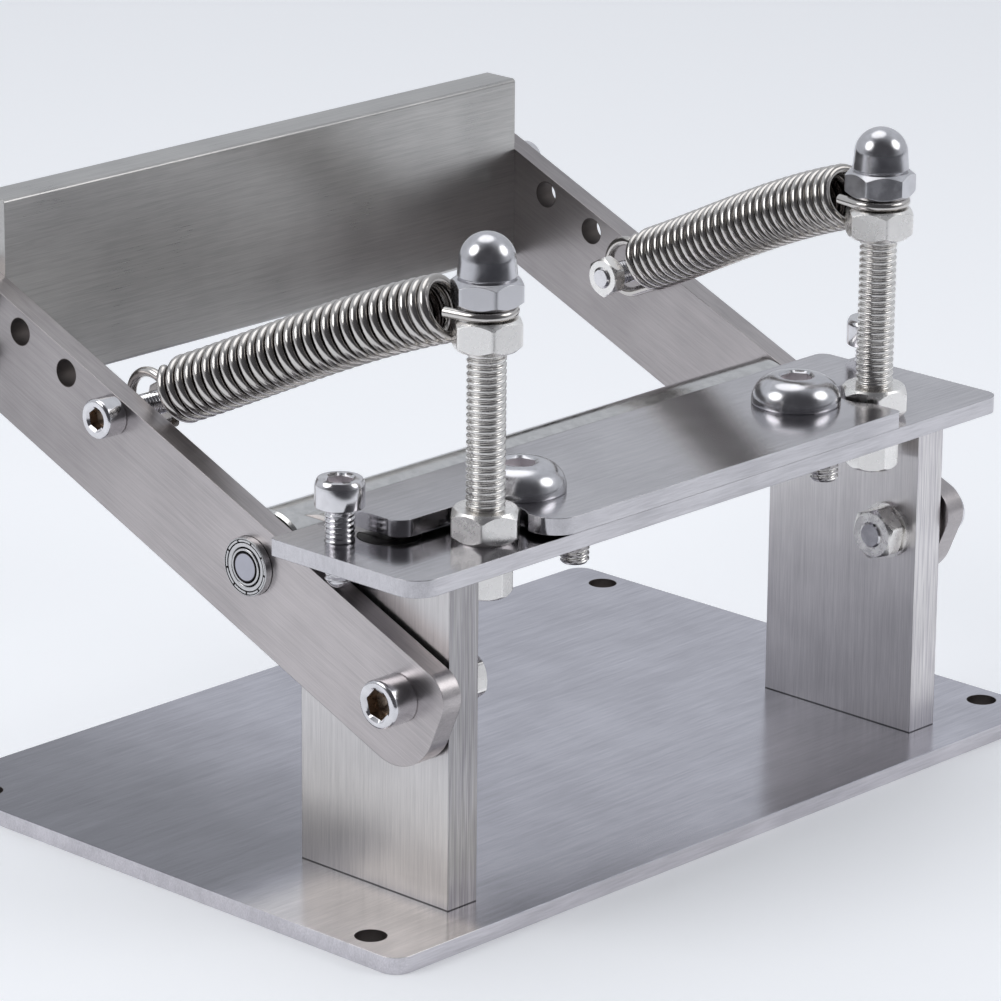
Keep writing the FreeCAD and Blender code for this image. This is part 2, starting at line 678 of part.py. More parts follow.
def make_pivot(side):
    sign = sides[side]
    stack = size("arm_thick") + size("arm_gap") + size("upright_thick")
    stack = stack + size("pivot_washer_thick") + size("pivot_nut_height") + size("pivot_end")
    screw = new_body("pivot_screw_" + side)
    cap_screw(screw, "pivot_head_dia", "pivot_head_height", "pivot_dia", stack, "pivot_socket",
              "pivot_socket_depth")
    place(screw, arm_outer_x * sign, pivot_y, pivot_z, outward[sign])
    hole = size("pivot_dia") / 2 + fit
    rim = size("pivot_washer_dia") / 2
    rings = [("pivot_spacer_", size("arm_gap"), upright_outer_x),
             ("pivot_washer_", size("pivot_washer_thick"),
              upright_inner_x - size("pivot_washer_thick"))]
    for name, thick, x in rings:
        ring = new_body(name + side)
        turned(ring, [(hole, 0), (rim, 0), (rim, thick), (hole, thick)])
        place(ring, x * sign, pivot_y, pivot_z, outward[sign])
    nut_x = upright_inner_x - size("pivot_washer_thick") - size("pivot_nut_height")
    hexagon_nut("pivot_nut_" + side, "pivot_nut_flats", "pivot_nut_height",
                size("pivot_dia") + fit * 2, nut_x * sign, pivot_y, pivot_z, pivot_nut_turn,
                outward[sign])


def make_adjust_screw(side):
    """A socket head screw with a rounded tip that stops on the arm's top edge."""
    body = new_body("adjust_screw_" + side)
    radius = size("adjust_dia") / 2
    head, height = size("adjust_head_dia") / 2, size("adjust_head_height")
    edge = size("adjust_head_chamfer")
    reach_y = size("adjust_y") - pivot_y
    middle_z = pivot_z + (size("arm_top") + radius + size("adjust_tip_gap")
                          + reach_y * sine(slope)) / cosine(slope)
    head_low = bed_top + size("adjust_travel_gap")
    tip = middle_z - radius - head_low
    turned(body, [(0, tip, radius, 1), (radius, tip + radius), (radius, 0), (head, 0),
                  (head, height - edge), (head - edge, height), (0, height)])
    socket(body, "adjust_socket", "adjust_socket_depth", height)
    place(body, adjust_x * sides[side], "adjust_y", head_low)


def make_spring_screw(side):
    sign = sides[side]
    y, z = along_arm("spring_screw_at", "hole_row")
    screw = new_body("spring_screw_" + side)
    length = size("arm_thick") + size("spring_screw_reach")
    cap_screw(screw, "spring_head_dia", "spring_head_height", "spring_screw_dia", length,
              "spring_socket", "spring_socket_depth")
    place(screw, arm_outer_x * sign, y, z, outward[sign])
    nut_x = arm_inner_x - size("spring_screw_reach") + chamfer
    hexagon_nut("spring_nut_" + side, "spring_nut_flats", "spring_nut_height",
                size("spring_screw_dia") + fit * 2, nut_x * sign, y, z, 0, outward[sign])


def make_plate_screws(side):
    """The two screws that hold an arm to the handle plate, as one group."""
    sign = sides[side]
    screws = []
    for number, (y, z) in enumerate(plate_screw_spots):
        body = doc.addObject("PartDesign::Body", "plate_screw_%s_%d" % (side, number))
        cap_screw(body, "plate_head_dia", "plate_head_height", "plate_screw_dia",
                  size("arm_thick") + size("plate_screw_grip"), "plate_socket",
                  "plate_socket_depth")
        place(body, arm_outer_x * sign, y, z, outward[sign])
        screws.append(body)
    group_solids("plate_screws_" + side, screws)


def make_base_screws(side):
    """The two countersunk screws that hold an upright down, driven from below."""
    screws = []
    for number, y in enumerate(base_screw_spots):
        body = countersunk_screw("base_screw_%s_%d" % (side, number),
                                 upright_mid_x * sides[side], y, 0, downward)
        nodes.remove(body)
        screws.append(body)
    group_solids("base_screws_" + side, screws)


def group_solids(node, members):
    group = doc.addObject("Part::Compound", node)
    group.Links = members
    nodes.append(group)


# ---- extension springs ----

# How finely the wire is drawn: its corners, and its steps along a hook, a turn and a bend.
wire_corners, hook_steps, turn_steps, bend_steps = 6, 10, 10, 5
# The first turn of the coil starts so many degrees past the hook's end, and a bend leaves each
# end by a share of its length.
coil_start, bend_share = 35, 0.45


def wire_tube(points, radius):
    """A solid wire along a chain of points. Each straight run is a prism, and the prisms meet in
    the plane that halves the turn between them."""
    heading = (points[1] - points[0]).normalize()
    aside = heading.cross(Z if abs(heading.z) < 0.9 else X).normalize()
    above = heading.cross(aside)
    angles = [2 * math.pi * (step + 0.5) / wire_corners for step in range(wire_corners)]
    ring = [points[0] + (aside * math.cos(a) + above * math.sin(a)) * radius for a in angles]
    rings = [ring]
    for number in range(1, len(points)):
        run = (points[number] - points[number - 1]).normalize()
        onward = run
        if number < len(points) - 1:
            onward = (points[number + 1] - points[number]).normalize()
        mitre = (run + onward).normalize()
        ring = [spot + run * ((points[number] - spot).dot(mitre) / run.dot(mitre))
                for spot in rings[-1]]
        rings.append(ring)
    faces = [Part.Face(Part.makePolygon(rings[0] + rings[0][:1])),
             Part.Face(Part.makePolygon(rings[-1] + rings[-1][:1]))]
    for low, high in zip(rings, rings[1:]):
        for step in range(wire_corners):
            after = (step + 1) % wire_corners
            quad = [low[step], low[after], high[after], high[step], low[step]]
            faces.append(Part.Face(Part.makePolygon(quad)))
    solid = Part.Solid(Part.Shell(faces))
    if solid.Volume < 0:
        solid.reverse()
    return solid


def hook_points(centre, toward, normal, radius, tail, lead):
    """A hook about a centre, open along toward: a straight tail, half a turn, and a straight lead
    on the other side."""
    toward = (toward - normal * toward.dot(normal)).normalize()
    across = normal.cross(toward)
    points = [centre + across * radius + toward * tail]
    for step in range(hook_steps + 1):
        angle = math.pi * (0.5 + step / hook_steps)
        points.append(centre + toward * radius * math.cos(angle)
                      + across * radius * math.sin(angle))
    points.append(points[-1] + toward * lead)
    return points, toward


def bend_points(start, start_way, end, end_way):
    """Points between two ends on a cubic curve that leaves and arrives in the given ways."""
    reach = (end - start).Length * bend_share
    second, third = start + start_way * reach, end - end_way * reach
    points = []
    for step in range(1, bend_steps):
        t = step / bend_steps
        points.append(start * (1 - t) ** 3 + second * (3 * t * (1 - t) ** 2)
                      + third * (3 * t * t * (1 - t)) + end * t ** 3)
    return points


def spring_line(rear, front):
    """The wire's centre line: rear hook, closely wound coil, front hook. The coil's axis passes
    above the hooks' centres."""
    wire, pitch = size("spring_wire").value, size("spring_pitch").value
    radius = (size("spring_dia").value - wire) / 2
    low, high = rear + Z * size("spring_lift").value, front + Z * size("front_lift").value
    axis = (high - low).normalize()
    first = low + axis * size("spring_neck").value
    last = high - axis * size("front_neck").value
    tail, lead = size("hook_tail").value, size("hook_lead").value
    rear_hook, rear_way = hook_points(rear, axis, -X, radius, tail, lead)
    front_hook, front_way = hook_points(front, -axis, Z, radius, tail, lead)
    front_hook.reverse()
    side = rear_hook[-2] - rear
    side = (side - axis * side.dot(axis)).normalize()
    other = axis.cross(side)
    leave = front_hook[1] - front
    leave = (leave - axis * leave.dot(axis)).normalize()
    swing = math.radians(coil_start)
    phase = math.atan2(leave.dot(other), leave.dot(side)) - 2 * swing
    turns = round((last - first).Length / pitch - phase / (2 * math.pi))
    sweep = 2 * math.pi * turns + phase
    steps = round(turn_steps * sweep / (2 * math.pi))
    coil = []
    for step in range(steps + 1):
        share = step / steps
        angle = swing + sweep * share
        coil.append(first + (last - first) * share
                    + (side * math.cos(angle) + other * math.sin(angle)) * radius)
    coil_in = (coil[1] - coil[0]).normalize()
    coil_out = (coil[-1] - coil[-2]).normalize()
    run_in = bend_points(rear_hook[-1], rear_way, coil[0], coil_in)
    run_out = bend_points(coil[-1], coil_out, front_hook[0], -front_way)
    return rear_hook + run_in + coil + run_out + front_hook


def make_spring(side):
    sign = sides[side]
    wire = size("spring_wire").value
    radius = (size("spring_dia").value - wire) / 2
    slack = size("eye_slack").value
    y, z = along_arm("spring_screw_at", "hole_row")
    screw = Vector(sign * (arm_inner_x.value - size("eye_inset").value), y.value, z.value)
    stud = Vector(sign * stud_x.value, size("stud_y").value,
                  eye_low.value + slack + wire / 2)
    tilt = math.radians(size("hook_slope").value)
    rear_pull = Vector(0, -math.cos(tilt), math.sin(tilt))
    front_pull = Vector(stud.x - screw.x, stud.y - screw.y, 0).normalize()
    free = radius - wire / 2 - slack
    rear = screw + rear_pull * (free - size("spring_screw_dia").value / 2)
    front = stud - front_pull * (free - size("stud_dia").value / 2)
    feature = doc.addObject("Part::Feature", "spring_" + side)
    feature.Shape = wire_tube(spring_line(rear, front), wire / 2)
    nodes.append(feature)


# ---- the whole machine ----

make_base_plate()
make_bed_plate()
make_blade()
make_clamp_plate()
make_handle_plate()
make_roller()
nut_turns = {"low_nut": (20, 8.5), "base_nut": (38.7, 48), "eye_nut": (-6.5, -8.7)}
cap_turns = {"left": -3, "right": 17}
for side_name, side_sign in sides.items():
    make_upright(side_name)
    make_base_screws(side_name)
    countersunk_screw("bed_screw_" + side_name, upright_mid_x * side_sign, "bed_screw_y",
                      bed_top, Rotation())
    make_clamp_screw(side_name)
    make_heel_screw(side_name)
    make_stud(side_name)
    nut_levels = {"low_nut": ("low_nut_flats", "low_nut_height",
                              bed_low - size("low_nut_height")),
                  "base_nut": ("nut_flats", "nut_height", bed_top),
                  "eye_nut": ("nut_flats", "nut_height", eye_low - size("nut_height"))}
    for nut_name, (flats, tall, level) in nut_levels.items():
        hexagon_nut("%s_%s" % (nut_name, side_name), flats, tall, size("stud_dia") + fit * 2,
                    stud_x * side_sign, "stud_y", level,
                    nut_turns[nut_name][side_sign > 0])
    make_cap_nut(side_name, cap_turns[side_name])
    make_arm(side_name)
    make_bearing(side_name)
    make_pivot(side_name)
    make_adjust_screw(side_name)
    make_spring_screw(side_name)
    make_spring(side_name)
    make_plate_screws(side_name)

doc.recompute()

faults = [item.Name for item in doc.Objects
          if "Invalid" in item.State or "Error" in item.State]
for node in nodes:
    if node.Shape.isNull() or not node.Shape.isValid() or not node.Shape.Solids:
        faults.append(node.Label)
if faults:
    raise RuntimeError("these failed: " + ", ".join(faults))

os.makedirs("parts", exist_ok=True)
for node in nodes:
    node.Shape.exportStep(os.path.join("parts", node.Label + ".step"))
print("%d sub-parts, %d solids" % (len(nodes), sum(len(node.Shape.Solids) for node in nodes)))
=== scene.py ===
import bpy
import math
import numpy as np
from mathutils import Matrix, Vector


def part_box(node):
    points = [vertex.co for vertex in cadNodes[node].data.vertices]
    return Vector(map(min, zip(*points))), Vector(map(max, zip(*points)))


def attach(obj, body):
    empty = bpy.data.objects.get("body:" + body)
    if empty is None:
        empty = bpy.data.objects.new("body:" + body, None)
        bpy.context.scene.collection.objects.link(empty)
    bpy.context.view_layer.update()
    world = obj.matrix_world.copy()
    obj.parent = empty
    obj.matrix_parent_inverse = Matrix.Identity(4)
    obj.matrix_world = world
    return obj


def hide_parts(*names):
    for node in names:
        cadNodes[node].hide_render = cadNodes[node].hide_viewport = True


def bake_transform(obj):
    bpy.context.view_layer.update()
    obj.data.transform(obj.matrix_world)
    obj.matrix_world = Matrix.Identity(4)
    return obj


# A leather splitting machine. The plates keep their CAD meshes and get finishes. The studs, nuts,
# screws, bearings and springs are made again, with threads, chamfers, crimped lips and coils.
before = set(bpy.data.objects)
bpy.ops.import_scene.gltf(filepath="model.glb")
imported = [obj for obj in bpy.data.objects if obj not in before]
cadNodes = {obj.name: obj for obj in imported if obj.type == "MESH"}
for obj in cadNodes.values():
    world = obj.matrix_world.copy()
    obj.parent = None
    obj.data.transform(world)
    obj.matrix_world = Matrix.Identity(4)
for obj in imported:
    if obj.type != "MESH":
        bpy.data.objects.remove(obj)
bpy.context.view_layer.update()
mm = 0.001
sides = {"left": -1, "right": 1}  # which way each side lies along X
print("frame loaded:", len(cadNodes), "nodes")


def middle(node):  # the centre of a node's box, in metres
    low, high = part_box(node)
    return (np.array(low) + np.array(high)) / 2


def footOf(node):  # the centre of the underside of a node's box, in metres
    x, y, _ = middle(node)
    return x, y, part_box(node)[0].z


def tallOf(node):  # in mm
    low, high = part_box(node)
    return (high.z - low.z) / mm


# A node that lies along X: the centre of its end towards the machine's middle, in metres, and its
# width in mm.
def innerEnd(node, side):
    low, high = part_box(node)
    _, y, z = middle(node)
    return (low.x if sides[side] > 0 else high.x, y, z), (high.x - low.x) / mm


def outerFace(node, side):  # how far out from the machine's middle a node reaches, in mm
    low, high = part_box(node)
    return (high.x if sides[side] > 0 else -low.x) / mm


# A socket in a sum: each operator adds the Math node that works it out.
class Value:
    def __init__(self, finish, socket):
        self.finish = finish
        self.socket = socket

    def combine(self, operation, first, second):
        return self.finish.add("ShaderNodeMath", {"operation": operation}, {0: first, 1: second})

    def __add__(self, other):
        return self.combine("ADD", self, other)

    def __sub__(self, other):
        return self.combine("SUBTRACT", self, other)

    def __mul__(self, other):
        return self.combine("MULTIPLY", self, other)

    def __rsub__(self, other):
        return self.combine("SUBTRACT", other, self)

    __radd__ = __add__
    __rmul__ = __mul__


# A node tree that is filled one node at a time.
class Finish:
    def __init__(self, owner):
        owner.use_nodes = True
        self.tree = owner.node_tree
        self.tree.nodes.clear()

    def add(self, kind, settings={}, inputs={}, output=0):
        node = self.tree.nodes.new(kind)
        for name, setting in settings.items():
            setattr(node, name, setting)
        for name, value in inputs.items():
            if isinstance(value, Value):
                self.tree.links.new(value.socket, node.inputs[name])
            else:
                node.inputs[name].default_value = value
        return Value(self, node.outputs[output] if node.outputs else None)

    def blend(self, share, first, second):  # colours: Mix node sockets 6 and 7
        return self.add("ShaderNodeMix", {"data_type": "RGBA"}, {0: share, 6: first, 7: second}, 2)

    def ease(self, value, low, high):  # 0 below low, 1 above high, smooth between
        return self.add("ShaderNodeMapRange", {"interpolation_type": "SMOOTHSTEP"},
                        {0: value, 1: low, 2: high})

    def place(self):  # Object coordinates
        return self.add("ShaderNodeTexCoord", output=3)

    def vector(self, operation, first, second, output=0):
        return self.add("ShaderNodeVectorMath", {"operation": operation}, {0: first, 1: second}, output)

    # 1 within a radius of an axis through spot, along the way where plane is 0, and 0 a little
    # past it; all in mm
    def shaft(self, spot, plane, radius, edge=0.12):
        offset = self.vector("SUBTRACT", self.place(), [part * mm for part in spot])
        away = self.vector("LENGTH", self.vector("MULTIPLY", offset, plane), (0, 0, 0), 1)
        return 1 - self.ease(away, radius * mm, (radius + edge) * mm)

    # 1 past the far end of every slope, 0 before the near end of one; distances in mm
    def within(self, slopes):
        area = 1
        for way, low, high in slopes:
            along = self.vector("DOT_PRODUCT", self.place(), way, 1)
            area = area * self.ease(along, low * mm, high * mm)
        return area

    def grain(self, cell, tilt=0.0, detail=2.0, rough=0.55):  # noise with cells of a size in mm
        where = self.add("ShaderNodeMapping", {"vector_type": "TEXTURE"},
                         {0: self.place(), 2: (tilt, 0, 0), 3: [side * mm for side in cell]})
        return self.add("ShaderNodeTexNoise", {}, {"Vector": where, "Scale": 1.0,
                                                   "Detail": detail, "Roughness": rough})

    # Rounded edges and a relief of a height in mm; edge is the rounding's radius in mm
    def bump(self, height, relief, strength, edge=0.0, samples=4):
        inputs = {"Strength": strength, "Distance": relief * mm, "Height": height}
        if edge:
            inputs["Normal"] = self.add("ShaderNodeBevel", {"samples": samples}, {"Radius": edge * mm})
        return self.add("ShaderNodeBump", {}, inputs)

    def steel(self, colour, rough, bump):
        self.add("ShaderNodeOutputMaterial", {}, {0: self.add("ShaderNodeBsdfPrincipled", {}, {
            "Base Color": colour, "Metallic": 1.0, "Roughness": rough, "Normal": bump})})


# Shares are of the fine streaks in all streaks and of those in the tone; level and line are the
# strengths between which the tone and a score's lines set in. Hole is the colour of the painted shade
# on the walls of holes.
brushed = {"edge": 0.22, "edgeSamples": 6, "cloud": 18, "strength": 0.4, "fineShare": 0.6,
           "streakShare": 0.7, "level": (0.3, 0.7), "line": (0.45, 0.62),
           "pale": (0.675, 0.66, 0.64), "dark": (0.47, 0.46, 0.45),
           "hole": (0.12, 0.105, 0.1, 1), "holeRough": 0.3}


# A ground and brushed plate: long fine streaks over slow clouds, in colour, gloss and bump. Across
# has the cells of its fine and its broad streaks in mm, and gloss its least and most roughness.
# The walls of its holes are dull and dark, a painted shade. Each area multiplies the three colours by
# its shares where all its slopes have set in, mostly as painted light and shade, and a slope is a way
# and the two distances in mm along it between which it sets in. Each score does the same on the lines
# of a grain of cells in mm.
def brushedPlate(name, across, gloss, tilt=0.0, relief=0.004, tone=1.0, holes=(), areas=(),
                 scores=(), tint=(1, 1, 1)):
    material = bpy.data.materials.new(name)
    finish = Finish(material)
    fine = finish.grain(across[0], tilt, 3.0, 0.6)
    broad = finish.grain(across[1], tilt, 3.0, 0.6)
    cloud = finish.grain([brushed["cloud"]] * 3)
    fineShare, streakShare = brushed["fineShare"], brushed["streakShare"]
    streak = fine * fineShare + broad * (1 - fineShare)
    level = finish.ease(streak * streakShare + cloud * (1 - streakShare), *brushed["level"])
    dark, pale = [[tone * part * cast for part, cast in zip(brushed[end], tint)] + [1]
                  for end in ("dark", "pale")]
    shade = finish.blend(level, dark, pale)
    rough = gloss[0] + (gloss[1] - gloss[0]) * (cloud * 0.5 + fine * 0.5)
    for share, slopes in areas:
        shade = finish.blend(finish.within(slopes), shade, finish.vector("MULTIPLY", shade, share))
    for share, cell, slopes in scores:
        lines = finish.ease(finish.grain(cell, tilt, 1.0), *brushed["line"])
        shade = finish.blend(lines * finish.within(slopes), shade,
                             finish.vector("MULTIPLY", shade, share))
    # Painted shade on the walls of the holes.
    for spot, plane, radius in holes:
        inside = finish.shaft(spot, plane, radius)
        shade = finish.blend(inside, shade, brushed["hole"])
        rough = rough + inside * brushed["holeRough"]
    finish.steel(shade, rough, finish.bump(streak, relief, brushed["strength"], brushed["edge"],
                                           brushed["edgeSamples"]))
    return material


# Cloud, scratch, relief and the distance of the pits are in mm; pitSize is a share of that
# distance, and dim is the duller tone's share of the colour.
turnedSteel = {"cloud": 3, "scratch": (0.25, 0.25, 1.5), "relief": 0.01, "strength": 0.3,
               "level": (0.35, 0.65), "dim": 0.88, "pitEvery": 2.2, "pitSize": (0.04, 0.07),
               "pitDepth": 4, "pitColour": (0.05, 0.045, 0.04, 1), "pitRough": 0.4,
               "turnedRough": 0.1}


# Polished fasteners: nearly even, with faint smears and a few small pits. Each turned end, within
# a radius of an axis, has a colour of its own and is duller.
def polished(name, colour, rough, smear, pits=0.0, edge=0.12, turned=()):
    look = turnedSteel
    material = bpy.data.materials.new(name)
    finish = Finish(material)
    cloud = finish.grain([look["cloud"]] * 3, 0.0, 3.0)
    scratch = finish.grain(look["scratch"])
    cell = finish.add("ShaderNodeTexVoronoi", {}, {"Vector": finish.place(),
                                                   "Scale": 1 / (look["pitEvery"] * mm)})
    pit = (1 - finish.ease(cell, *look["pitSize"])) * pits
    level = finish.ease(cloud, *look["level"])
    shade = finish.blend(level, [look["dim"] * part for part in colour] + [1], [*colour, 1])
    shade = finish.blend(pit, shade, look["pitColour"])
    gloss = rough + smear * level + pit * look["pitRough"]
    for spot, plane, radius, face in turned:
        inside = finish.shaft(spot, plane, radius)
        shade = finish.blend(inside, shade, face)
        gloss = gloss + inside * look["turnedRough"]
    finish.steel(shade, gloss, finish.bump(scratch - pit * look["pitDepth"], look["relief"],
                                           look["strength"], edge))
    return material


# Dark is the painted shade between the turns and inside the coil.
wireFinish = {"bright": (0.6, 0.575, 0.55, 1), "dark": (0.085, 0.073, 0.068, 1), "rough": 0.12,
              "smear": 0.1, "facing": (0.0, 0.85)}


# Coiled wire: bright where it faces away from the coil's axis, with painted shade between the turns and
# inside the coil.
def coiledWire(name):
    look = {**turnedSteel, **wireFinish}
    material = bpy.data.materials.new(name)
    finish = Finish(material)
    outward = finish.add("ShaderNodeAttribute", {"attribute_name": "outward"}, output=2)
    cloud = finish.grain([look["cloud"]] * 3, 0.0, 3.0)
    scratch = finish.grain(look["scratch"])
    shade = finish.blend(finish.ease(outward, *look["facing"]), look["dark"], look["bright"])
    finish.steel(shade, look["rough"] + look["smear"] * cloud,
                 finish.bump(scratch, look["relief"], look["strength"]))
    return material


# The base's holes are set in from its edges. The arm's row of holes starts at the spring screw
# and runs along the arm at a height over the pivot; all in mm.
baseLook = {"holeIn": (5.7, 12.5), "hole": 3.2}
armLook = {"rowStart": 90, "rowPitch": 15, "rowHeight": 5.2, "spareHoles": (1, 2), "hole": 2.9}
pivot = middle("pivot_screw_left") / mm
toRow = middle("spring_screw_left") / mm - pivot
armSlope = math.atan2(toRow[2], toRow[1]) - math.atan2(armLook["rowHeight"], armLook["rowStart"])
alongArm = np.array([0, math.cos(armSlope), math.sin(armSlope)])
overArm = np.array([0, -math.sin(armSlope), math.cos(armSlope)])
aboutX, aboutZ = (0, 1, 1), (1, 1, 0)  # the planes that holes and turned ends are round in
armHoles = [(pivot + alongArm * (armLook["rowStart"] + armLook["rowPitch"] * step)
             + overArm * armLook["rowHeight"], aboutX, armLook["hole"])
            for step in armLook["spareHoles"]]
baseRight, baseRear, baseTop = np.array(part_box("base_plate")[1]) / mm
baseHoles = [((x * (baseRight - baseLook["holeIn"][0]), y * (baseRear - baseLook["holeIn"][1]), 0),
              aboutZ, baseLook["hole"]) for x in (-1, 1) for y in (-1, 1)]

# Where the plates are lighter or darker than their tone, mostly painted light and shade: painted dark
# reflection on the base to its left, a painted pool of light at the left upright's foot and painted
# light on its edges; painted shade on the left upright's front edge, painted light on the right upright
# and low on the left one, and a dark line at the uprights' foot where they meet the base; and painted
# shade on the arms towards their far end.
toLeft, toRight, toFront, toRear = (-1, 0, 0), (1, 0, 0), (0, -1, 0), (0, 1, 0)
upwards, downwards = (0, 0, 1), (0, 0, -1)
uprightFront = -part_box("upright_left")[0].y / mm
topFace = (upwards, baseTop - 0.2, baseTop - 0.05)
underTop = (downwards, 0.05 - baseTop, 0.25 - baseTop)
footSeam = (downwards, -baseTop - 0.3, -baseTop - 0.1)
frontEdge = (toFront, uprightFront - 0.3, uprightFront - 0.05)
leftOne, rightOne = (toLeft, 0, 10), (toRight, 0, 10)
# Painted dark reflection on the base to the left, a painted pool of light at the left upright's foot,
# and painted light on the base's edges.
basePaintedLightAndShade = [((0.46, 0.46, 0.46), [(toLeft, 10, 85), (toRear, -36, -12), topFace]),
             ((1.5, 1.45, 1.32), [(toLeft, 74, 79), (toFront, 20, 34), topFace]),
             ((1.15, 1.13, 1.08), [underTop])]
# Painted shade on the left upright's front edge, painted light on the right upright and low on the left
# one, and a dark line along the foot where the uprights meet the base.
uprightPaintedLightAndFootLine = [((0.62, 0.62, 0.62), [frontEdge, leftOne]), ((1.2, 1.2, 1.2), [rightOne]),
                ((1.2, 1.18, 1.12), [(downwards, -36, -8), leftOne]),
                ((0.2, 0.2, 0.2), [footSeam])]
uprightScores = [((0.79, 0.78, 0.81), (0.22, 0.22, 14), [frontEdge]),
                 ((1.24, 1.24, 1.27), (0.26, 0.26, 18), [frontEdge, leftOne])]
# Painted shade on the arms, darker towards their far end.
armPaintedShade = [((0.66, 0.66, 0.66), [(alongArm, -10, 120)])]

# The roller's journals have painted shade within the groove's radius, where they meet the bearings'
# races, round a pale end face; radii in mm.
rollerLook = {"groove": 3.05, "grooveColour": (0.03, 0.028, 0.03, 1), "face": 2.7,
              "faceColour": (0.46, 0.46, 0.51, 1)}
journalEnds = [(middle("roller") / mm, aboutX, rollerLook[part], rollerLook[part + "Colour"])
               for part in ("groove", "face")]
finishes = {
    "base": brushedPlate("basePlateSteel", [(9, 0.3, 0.5), (42, 1.8, 3)], (0.15, 0.25),
                         holes=baseHoles, areas=basePaintedLightAndShade, tint=(0.96, 0.97, 1.1)),
    "bed": brushedPlate("bedPlateSteel", [(6, 0.12, 0.3), (25, 0.7, 2)], (0.12, 0.2),
                        relief=0.0015, tone=0.96, tint=(0.99, 0.99, 1.06)),
    "upright": brushedPlate("uprightSteel", [(0.12, 0.12, 7), (0.7, 0.7, 30)], (0.26, 0.36),
                            tone=1.05, areas=uprightPaintedLightAndFootLine, scores=uprightScores,
                            tint=(1.01, 1.0, 1.025)),
    "arm": brushedPlate("armSteel", [(0.4, 7, 0.12), (2, 30, 0.7)], (0.26, 0.36), armSlope,
                        tone=0.86, holes=armHoles, areas=armPaintedShade, tint=(1.0, 0.955, 0.985)),
    "handle": brushedPlate("handlePlateSteel", [(7, 0.14, 0.14), (30, 0.7, 0.7)], (0.24, 0.34),
                           relief=0.003, tone=0.84),
    "blade": brushedPlate("bladeSteel", [(0.1, 5, 0.3), (0.5, 16, 1)], (0.16, 0.24),
                          relief=0.002),
    "roller": polished("rollerSteel", (0.66, 0.655, 0.65), 0.16, 0.06, turned=journalEnds),
    "chrome": polished("polishedSteel", (0.75, 0.74, 0.76), 0.12, 0.06),
    "dome": polished("domeSteel", (0.64, 0.635, 0.66), 0.18, 0.06),
    "nut": polished("nutSteel", (0.95, 0.93, 0.905), 0.22, 0.1, pits=0.16),
    "thread": polished("threadSteel", (0.8, 0.78, 0.755), 0.18, 0.1, edge=0.03),
    "spring": coiledWire("springSteel"),
    "black": polished("blackedSteel", (0.035, 0.034, 0.034), 0.3, 0.15),
    "bearing": polished("bearingSteel", (0.6, 0.595, 0.6), 0.2, 0.1),
    # Painted shade inside deep sockets and painted light on the walls of open ones.
    "shadedSocket": polished("deepSocketSteel", (0.36, 0.29, 0.235), 0.24, 0.1),
    "litSocket": polished("openSocketSteel", (0.86, 0.83, 0.85), 0.3, 0.1),
    # Painted shade for the bearings' grooves, notches and the gap at the arm.
    "groove": polished("grooveShade", (0.03, 0.028, 0.028), 0.4, 0.1),
}
print("finishes:", len(finishes))

# Plates and plain parts keep their CAD mesh. Those of a pair are named without their side.
plateFinish = {"base_plate": "base", "bed_plate": "bed", "clamp_plate": "bed", "blade": "blade",
               "handle_plate": "handle", "roller": "roller"}
pairFinish = {"upright_": "upright", "arm_": "arm", "base_screws_": "black",
              "pivot_spacer_": "nut", "pivot_washer_": "nut"}
plateFinish.update({kind + side: finish for kind, finish in pairFinish.items() for side in sides})
for plate, plateLook in plateFinish.items():
    cadNodes[plate].data.materials.clear()
    cadNodes[plate].data.materials.append(finishes[plateLook])
print("plates:", len(plateFinish))


# Puts a mesh in the place of a node. Choice gives each face the number of its finish. A piece with no
# body to ride on is left unattached.
def addPiece(name, points, faces, names, choice, node, body, sharp):
    mesh = bpy.data.meshes.new(name)
    mesh.from_pydata(points.tolist(), [], faces)
    mesh.shade_smooth()
    mesh.set_sharp_from_angle(angle=math.radians(sharp))
    for finish in names:
        mesh.materials.append(finishes[finish])
    mesh.polygons.foreach_set("material_index", choice)
    piece = bpy.data.objects.new(name, mesh)
    bpy.context.scene.collection.objects.link(piece)
    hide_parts(node)
    if body:
        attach(piece, body)
    return piece


# The faces between each row of a grid of points and the next, all the way round. On a ring the
# last row is followed by the first.
def gridFaces(rows, columns, ring=False):
    row = np.arange(rows if ring else rows - 1)[:, None]
    nextRow = (row + 1) % rows
    column = np.arange(columns)[None, :]
    after = (column + 1) % columns
    return np.stack([row * columns + column, row * columns + after,
                     nextRow * columns + after, nextRow * columns + column], -1).reshape(-1, 4)


# Closed surface from a grid of points: rows run along the piece, columns go round it. The end
# rows are drawn in to one point each, so both ends are shut. Inner gives the last so many rows a
# finish of their own.
def gridPiece(name, points, finish, node, body="frame", sharp=35, inner=None):
    rows, columns = points.shape[:2]
    ends = np.stack([points[0].mean(0), points[-1].mean(0)])
    spin = np.arange(columns)
    after = (spin + 1) % columns
    first, last, top = rows * columns, rows * columns + 1, (rows - 1) * columns
    lids = np.concatenate([np.stack([np.full(columns, first), after, spin], -1),
                           np.stack([np.full(columns, last), top + spin, top + after], -1)])
    quads = gridFaces(rows, columns)
    choice = np.zeros(len(quads) + len(lids), np.int32)
    names = [finish]
    if inner:
        names.append(inner[1])
        choice[(rows - inner[0]) * columns:len(quads)] = 1
        choice[-columns:] = 1
    return addPiece(name, np.concatenate([points.reshape(-1, 3), ends]),
                    quads.tolist() + lids.tolist(), names, choice, node, body, sharp)


